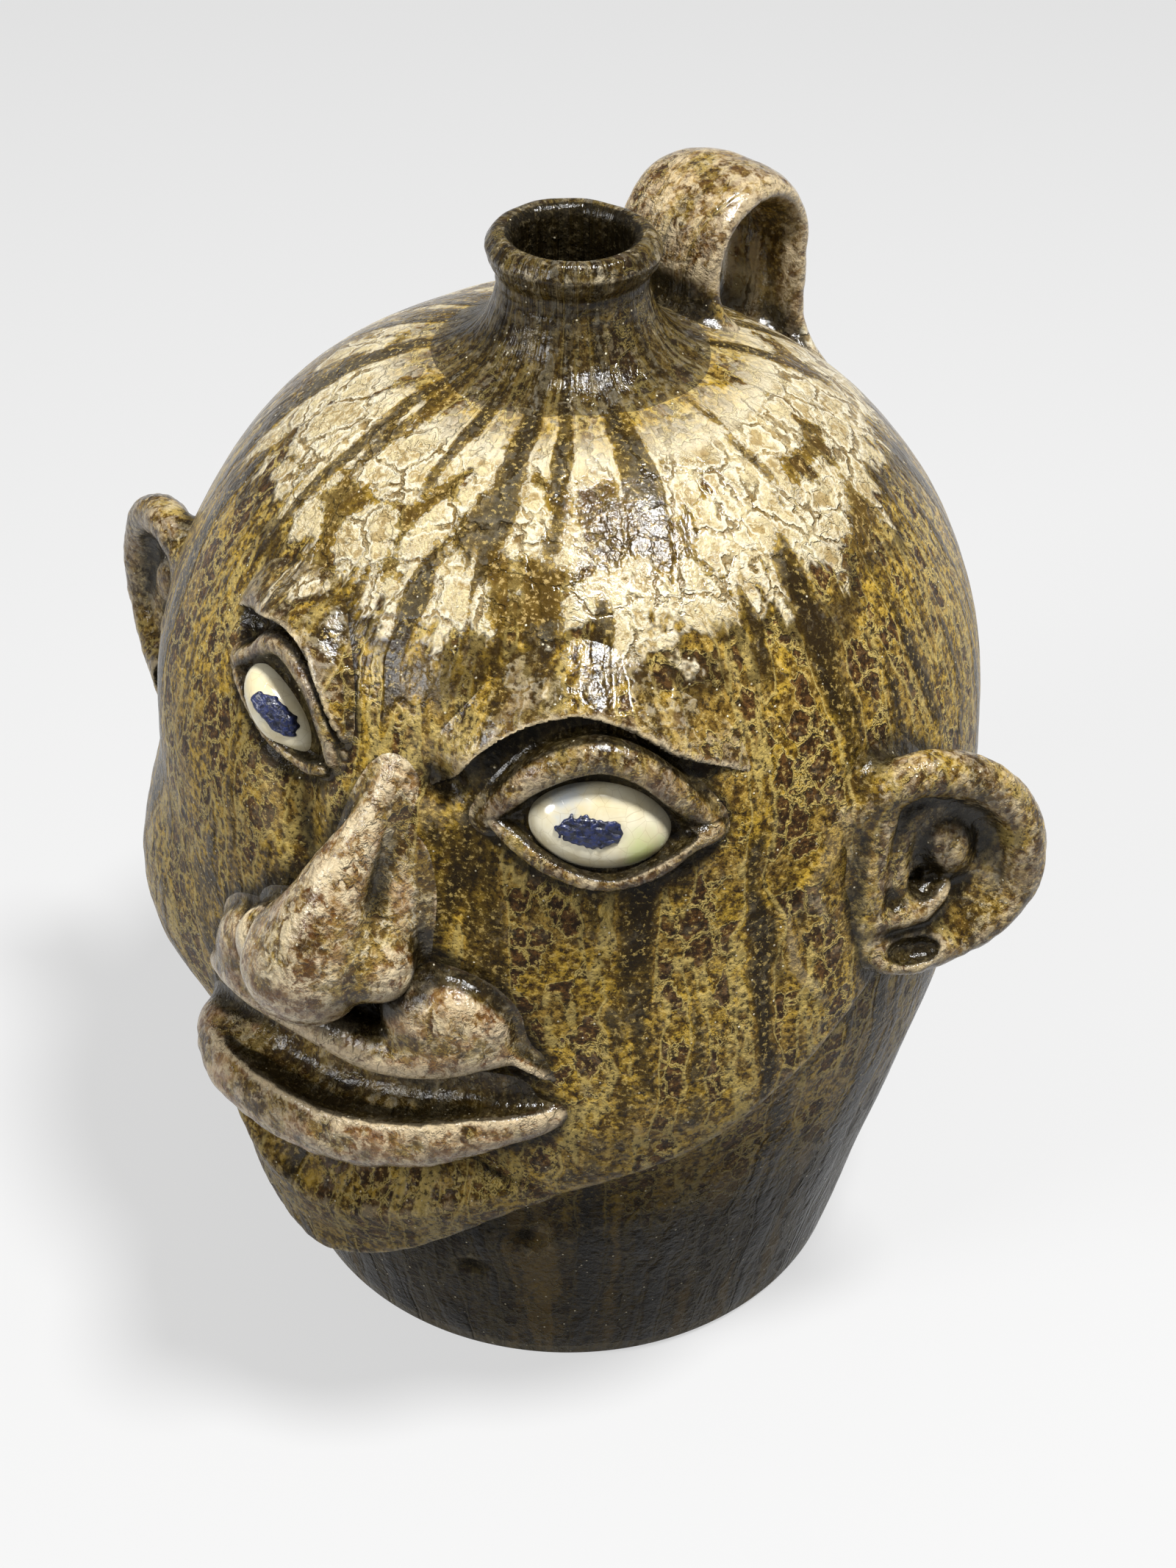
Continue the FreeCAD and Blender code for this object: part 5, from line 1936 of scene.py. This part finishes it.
@dataclass(frozen=True)
class Studio:
    """Pale floor, soft lamps and the camera at the photograph's place."""

    eye: tuple = (0.0, -451.26, 474.10)
    pitch: float = 37.72
    yaw: float = 0.56
    roll: float = 0.66
    turn: float = 23.0
    focal: float = 3203.8
    image_height: int = 2133
    sensor: float = 36.0
    floor_radius: float = 4.0
    floor_grey: float = 0.22
    floor_glow: float = 0.58
    sky: float = 0.20
    lamps: tuple = (("key", (0.45, -0.12, 1.50), 0.28, 30.0, 1.0),
                    ("fill", (-0.8, -1.2, 0.9), 0.5, 12.0, 0.25))

    def camera(self) -> None:
        """Sets the camera where the photograph was taken from."""
        pitch, yaw, roll = (math.radians(a) for a in (self.pitch, self.yaw, self.roll))
        ahead = Vector((math.sin(yaw) * math.cos(pitch), math.cos(yaw) * math.cos(pitch), -math.sin(pitch)))
        right = Vector((math.cos(yaw), -math.sin(yaw), 0.0))
        up = right.cross(ahead)
        right, up = (math.cos(roll) * right + math.sin(roll) * up,
                     math.cos(roll) * up - math.sin(roll) * right)
        basis = Matrix((right, up, -ahead)).transposed().to_4x4()
        place = Matrix.Translation(Vector(self.eye) * MM)
        data = bpy.data.cameras.new("camera")
        data.sensor_width = self.sensor
        data.lens = self.focal / self.image_height * self.sensor
        data.clip_start = 0.01
        data.clip_end = 50.0
        camera = bpy.data.objects.new("camera", data)
        camera.matrix_world = Matrix.Rotation(math.radians(self.turn), 4, "Z") @ place @ basis
        bpy.context.scene.collection.objects.link(camera)
        bpy.context.scene.camera = camera

    def lamp(self, name: str, place: tuple, size: float, power: float, glare: float) -> None:
        """Adds one soft lamp that points at the jug.

        Args:
            name: Name of the lamp.
            place: Its place in metres.
            size: Width of its disc in metres.
            power: Power in watts.
            glare: Share of its light that shows in highlights.
        """
        data = bpy.data.lights.new(name, "AREA")
        data.shape = "DISK"
        data.size = size
        data.energy = power
        data.specular_factor = glare
        lamp = bpy.data.objects.new(name, data)
        lamp.location = place
        aim = Vector((0.0, 0.0, 0.14)) - Vector(place)
        lamp.rotation_euler = aim.to_track_quat("-Z", "Y").to_euler()
        bpy.context.scene.collection.objects.link(lamp)

    def floor(self) -> None:
        """Lays a pale round floor."""
        mesh = bpy.data.meshes.new("floor")
        turns = np.linspace(0.0, 2.0 * math.pi, 64, endpoint=False)
        ring = [(self.floor_radius * math.cos(turn), self.floor_radius * math.sin(turn), 0.0)
                for turn in turns]
        mesh.from_pydata(ring, [], [list(range(len(ring)))])
        floor = bpy.data.objects.new("floor", mesh)
        bpy.context.scene.collection.objects.link(floor)
        material, lay = new_material("pale_floor")
        path = lay.add("ShaderNodeLightPath").outputs
        seen = lay.most(path["Is Camera Ray"],
                        lay.most(path["Is Glossy Ray"], path["Is Transmission Ray"]))
        matte = lay.add("ShaderNodeBsdfDiffuse", {"Color": (*[self.floor_grey] * 3, 1.0)}).outputs[0]
        glow = lay.add("ShaderNodeEmission", {"Strength": lay.times(seen, self.floor_glow)}).outputs[0]
        both = lay.add("ShaderNodeAddShader", {0: matte, 1: glow}).outputs[0]
        lay.add("ShaderNodeOutputMaterial", {0: both})
        mesh.materials.append(material)

    def backdrop(self) -> None:
        """Fills the world with even, dim light."""
        world = bpy.data.worlds.new("studio")
        bpy.context.scene.world = world
        world.use_nodes = True
        world.node_tree.nodes.clear()
        lay = Nodes(world.node_tree)
        light = lay.add("ShaderNodeBackground", {"Color": (1.0, 1.0, 1.0, 1.0), "Strength": self.sky})
        lay.add("ShaderNodeOutputWorld", {0: light.outputs[0]})

    def build(self) -> None:
        """Sets up the whole studio."""
        bpy.context.scene.view_settings.view_transform = "Standard"
        self.camera()
        self.floor()
        self.backdrop()
        for row in self.lamps:
            self.lamp(*row)


def pads() -> list:
    """Chin and cheeks.

    Returns:
        The pieces, in the order that they are pressed on.
    """
    return [
        SteppedPad("chin", Site(-8.0, 66.0), 64.0, 36.0, 16.0, 1.0, 0.9, seed=6, handling=0.35, stations=(
            (-46.0, 76.0, 6.0, 0.0, 8.0, 6.0), (-40.0, 68.0, 15.0, 4.0, 8.0, 9.0),
            (-32.0, 56.0, 26.0, 8.5, 8.0, 12.0), (-24.0, 47.0, 32.0, 11.5, 8.0, 14.0),
            (-16.0, 43.5, 32.5, 12.5, 7.0, 14.0), (-8.0, 48.0, 28.0, 12.0, 7.0, 13.0),
            (0.0, 56.0, 24.0, 10.5, 7.0, 11.0), (8.0, 65.5, 20.0, 8.0, 7.0, 10.0),
            (15.0, 74.5, 15.0, 5.5, 7.0, 10.0), (22.0, 81.5, 12.0, 3.5, 7.0, 10.0),
            (29.0, 89.0, 8.0, 0.0, 7.0, 8.0))),
        SteppedPad("left_cheek", Site(42.0, 118.0), 62.0, 62.0, 10.0, 1.0, 1.1, seed=7, handling=0.3,
                   stations=((10.0, 68.0, 26.0, 0.0, 9.0, 24.0), (16.0, 76.0, 32.0, 3.0, 9.0, 34.0),
                             (22.0, 82.0, 36.0, 4.4, 9.0, 44.0), (29.0, 89.0, 38.0, 5.0, 9.0, 50.0),
                             (40.0, 97.5, 38.0, 5.4, 9.0, 50.0), (50.0, 110.0, 32.0, 5.2, 9.0, 44.0),
                             (58.0, 120.0, 26.0, 4.4, 9.0, 36.0), (66.0, 129.0, 20.0, 2.4, 9.0, 28.0),
                             (74.0, 138.0, 12.0, 0.0, 9.0, 16.0))),
        SoftPad("right_cheek", Site(-58.0, 112.0), 60.0, 58.0, 10.0, 9.0, 1.3, seed=8, handling=0.3,
                eggs=((-58.0, 111.0, -23.6, 45.0, 41.0, 30.0, -14.0),))]


def nose_and_lips() -> list:
    """Nose and lips.

    Returns:
        The pieces, in the order that they are pressed on.
    """
    return [
        Nose("nose", Site(-5.0, 157.0), 38.0, 40.0, 26.0, 4.0, 0.8, seed=9, handling=0.2, rounds=26),
        UpperLip("upper_lip", Site(-4.0, 129.0), 56.0, 30.0, 15.0, 3.4, 0.8, seed=10, handling=0.2,
                 rounds=30),
        LowerLip("lower_lip", Site(-4.0, 106.0), 60.0, 28.0, 19.0, 4.0, 0.8, seed=12, rounds=24)]


def brows() -> list:
    """Brows.

    Returns:
        The pieces, in the order that they are pressed on.
    """
    return [
        SteppedPad("left_brow", Site(25.4, 202.0), 40.0, 24.0, 10.0, 1.0, 0.7, seed=13, handling=0.15,
                   undercut=0.45, stations=(
                       (4.5, 188.6, 8.0, 0.0, 1.0, 12.0), (8.3, 191.9, 9.0, 3.4, 1.0, 15.0),
                       (11.9, 197.5, 8.5, 4.8, 1.0, 17.0), (16.4, 201.5, 8.5, 5.4, 1.0, 18.0),
                       (20.6, 203.4, 8.5, 5.6, 1.0, 18.0), (25.4, 203.8, 8.5, 5.6, 1.0, 18.0),
                       (31.5, 200.8, 9.0, 5.0, 1.0, 18.0), (36.4, 196.4, 9.0, 3.8, 1.0, 17.0),
                       (42.7, 192.9, 8.0, 1.6, 1.0, 14.0), (47.0, 190.0, 7.0, 0.0, 1.0, 12.0))),
        SteppedPad("right_brow", Site(-19.0, 204.0), 32.0, 24.0, 10.0, 1.0, 0.7, seed=14, handling=0.15,
                   undercut=0.45, stations=(
                       (-36.0, 203.6, 8.0, 0.0, 1.0, 12.0), (-32.5, 205.2, 8.0, 2.4, 1.0, 14.0),
                       (-27.2, 206.4, 8.0, 4.4, 1.0, 16.0), (-21.0, 207.2, 8.0, 5.2, 1.0, 16.0),
                       (-16.0, 205.2, 8.0, 5.2, 1.0, 16.0), (-12.4, 200.6, 8.0, 4.6, 1.0, 15.0),
                       (-9.6, 195.6, 8.0, 3.4, 1.0, 14.0), (-7.0, 190.6, 7.0, 0.0, 1.0, 12.0)))]


def eyes() -> list:
    """Eyelids, eyeballs and pupils.

    Returns:
        The pieces, in the order that they are pressed on.
    """
    eye_left = Site(26.9, 184.2, -5.0)
    eye_right = Site(-21.4, 191.9, -30.0)
    upper_left = ((12.5, 182.0), (15.0, 186.2), (19.8, 192.1), (26.8, 195.0), (32.4, 191.6),
                  (38.4, 181.8), (41.0, 178.0))
    lower_left = ((12.5, 187.0), (15.0, 185.8), (20.8, 179.2), (27.6, 175.1), (34.0, 178.0),
                  (38.4, 181.6), (41.0, 184.0))
    upper_right = ((-31.0, 191.0), (-28.1, 195.8), (-24.2, 200.9), (-20.7, 202.0), (-16.0, 198.4),
                   (-12.6, 192.9), (-11.6, 188.5), (-10.6, 184.0))
    lower_right = ((-31.0, 199.0), (-28.1, 195.8), (-24.1, 192.2), (-19.2, 188.0), (-14.3, 185.9),
                   (-11.6, 188.2), (-10.6, 192.0))
    ball_left = Eyeball("left_eyeball", eye_left, 19.0, 14.0, 9.0, 1.0, 0.6, "eye_glaze", along=15.4,
                        up=9.8, seed=3)
    ball_right = Eyeball("right_eyeball", eye_right, 16.0, 12.0, 8.0, 1.0, 0.6, "eye_glaze", along=11.8,
                         up=5.8, seed=4)
    return [
        Lid("left_upper_eyelid", eye_left, 30.0, 22.0, 12.0, 3.2, 0.6, seed=15, handling=0.1,
            upper=upper_left, lower=lower_left,
            roll=((12.8, 185.0, 0.0, 2.0), (16.2, 190.8, 1.6, 3.2), (20.6, 195.6, 2.4, 3.8),
                  (26.4, 197.8, 2.6, 4.0), (31.8, 195.4, 2.4, 3.8), (36.2, 189.8, 1.8, 3.4),
                  (40.4, 183.0, 0.4, 2.2))),
        Lid("right_upper_eyelid", eye_right, 26.0, 22.0, 12.0, 3.0, 0.6, seed=16, handling=0.1,
            upper=upper_right, lower=lower_right,
            roll=((-30.4, 196.6, 0.2, 1.5), (-25.6, 202.4, 1.2, 2.3), (-20.6, 204.2, 1.6, 2.7),
                  (-15.0, 200.9, 1.6, 2.7), (-11.2, 194.6, 1.2, 2.3), (-9.6, 189.0, 0.4, 1.6))),
        Lid("left_lower_eyelid", eye_left, 30.0, 22.0, 10.0, 2.2, 0.5, seed=17, handling=0.12,
            upper=upper_left, lower=lower_left, trim=0.5,
            roll=((13.0, 185.2, 0.8, 1.4), (16.6, 181.6, 2.4, 1.7), (21.6, 177.0, 3.2, 1.8),
                  (27.6, 174.2, 3.4, 1.8), (33.6, 176.6, 3.2, 1.9), (37.6, 180.4, 2.4, 2.2),
                  (41.0, 181.6, 1.0, 2.4))),
        Lid("right_lower_eyelid", eye_right, 26.0, 20.0, 10.0, 2.0, 0.5, seed=18, handling=0.1,
            upper=upper_right, lower=lower_right, trim=0.5,
            roll=((-29.4, 194.4, 0.6, 1.2), (-24.6, 191.0, 1.7, 1.4), (-19.4, 187.0, 2.2, 1.4),
                  (-14.2, 184.9, 2.0, 1.4), (-10.6, 186.2, 0.8, 1.4))),
        ball_left, ball_right,
        Pupil("left_pupil", eye_left, 9.0, 7.0, 9.0, 1.0, 0.3, "pupil_glaze", seed=19, turn=-6.0,
              offset=(-1.9, -0.2), ball=ball_left),
        Pupil("right_pupil", eye_right, 8.0, 7.0, 9.0, 1.0, 0.3, "pupil_glaze", seed=20, along=5.6,
              up=2.3, offset=(2.0, 1.7), ball=ball_right)]


def face_glazes(paint: bpy.types.NodeTree) -> dict:
    """Finishes of the face's pieces.

    Args:
        paint: The group that paints the ash glaze.

    Returns:
        Materials by the ending of a piece's name.
    """
    blue = tone(120, 150, 190)
    stains = (((0.0360, -0.0860, 0.1930), 0.0075, blue, 0.55),
              ((0.0500, -0.0800, 0.1800), 0.0065, tone(196, 204, 128), 0.8),
              ((-0.0280, -0.0880, 0.1930), 0.0060, blue, 0.5))
    padded = AshGlaze("ash_glaze_pad", cream=0.06, low=0.5).make(paint)
    return {"chin": padded, "cheek": padded,
            # the nose's and lips' high cream is partly a painted highlight on their ridges and speckles
            "nose": AshGlaze("ash_glaze_nose", rust=0.36, cream=0.52, runs=0.8, low=0.2).make(paint),
            "lip": AshGlaze("ash_glaze_applied", rust=0.42, cream=0.42, runs=0.8, low=0.2).make(paint),
            "brow": AshGlaze("ash_glaze_brow", rust=0.12, cream=0.30).make(paint),
            "lid": AshGlaze("ash_glaze_lid", rust=0.18, cream=0.34, shade=0.25).make(paint),
            "ball": PaleGlaze().make(stains), "pupil": CobaltGlaze().make()}


def main() -> None:
    """Builds the studio and the jug, piece by piece."""
    logging.basicConfig(level=logging.INFO, format="%(message)s")
    Studio().build()
    paint = AshPaint(jug_space_group()).build()
    wheel = wheel_tree()
    Vessel().make(wheel, AshGlaze().make(paint))
    Neck().make(wheel, AshGlaze("ash_glaze_neck", cream=0.42, waist=0.72).make(paint))
    handled = AshGlaze("ash_glaze_handle", rust=0.2, cream=0.34, shade=0.08, runs=0.7)
    StrapHandle().make(strap_tree(), handled.make(paint))
    eared = AshGlaze("ash_glaze_ear", rust=0.14, cream=0.30).make(paint)
    for side, azimuth, facing in ((Side.LEFT, 73.3, 46.0), (Side.RIGHT, 86.0, 46.0)):
        Ear(side, azimuth, facing).make(eared)
    glazes = face_glazes(paint)
    for piece in pads() + nose_and_lips() + brows() + eyes():
        piece.make(next(glaze for ending, glaze in glazes.items() if piece.name.endswith(ending)))
    paint_pooling_and_shade([piece for piece in bpy.data.objects
                if piece.type == "MESH" and piece.name.endswith("_clay")])


if __name__ == "__main__":
    main()
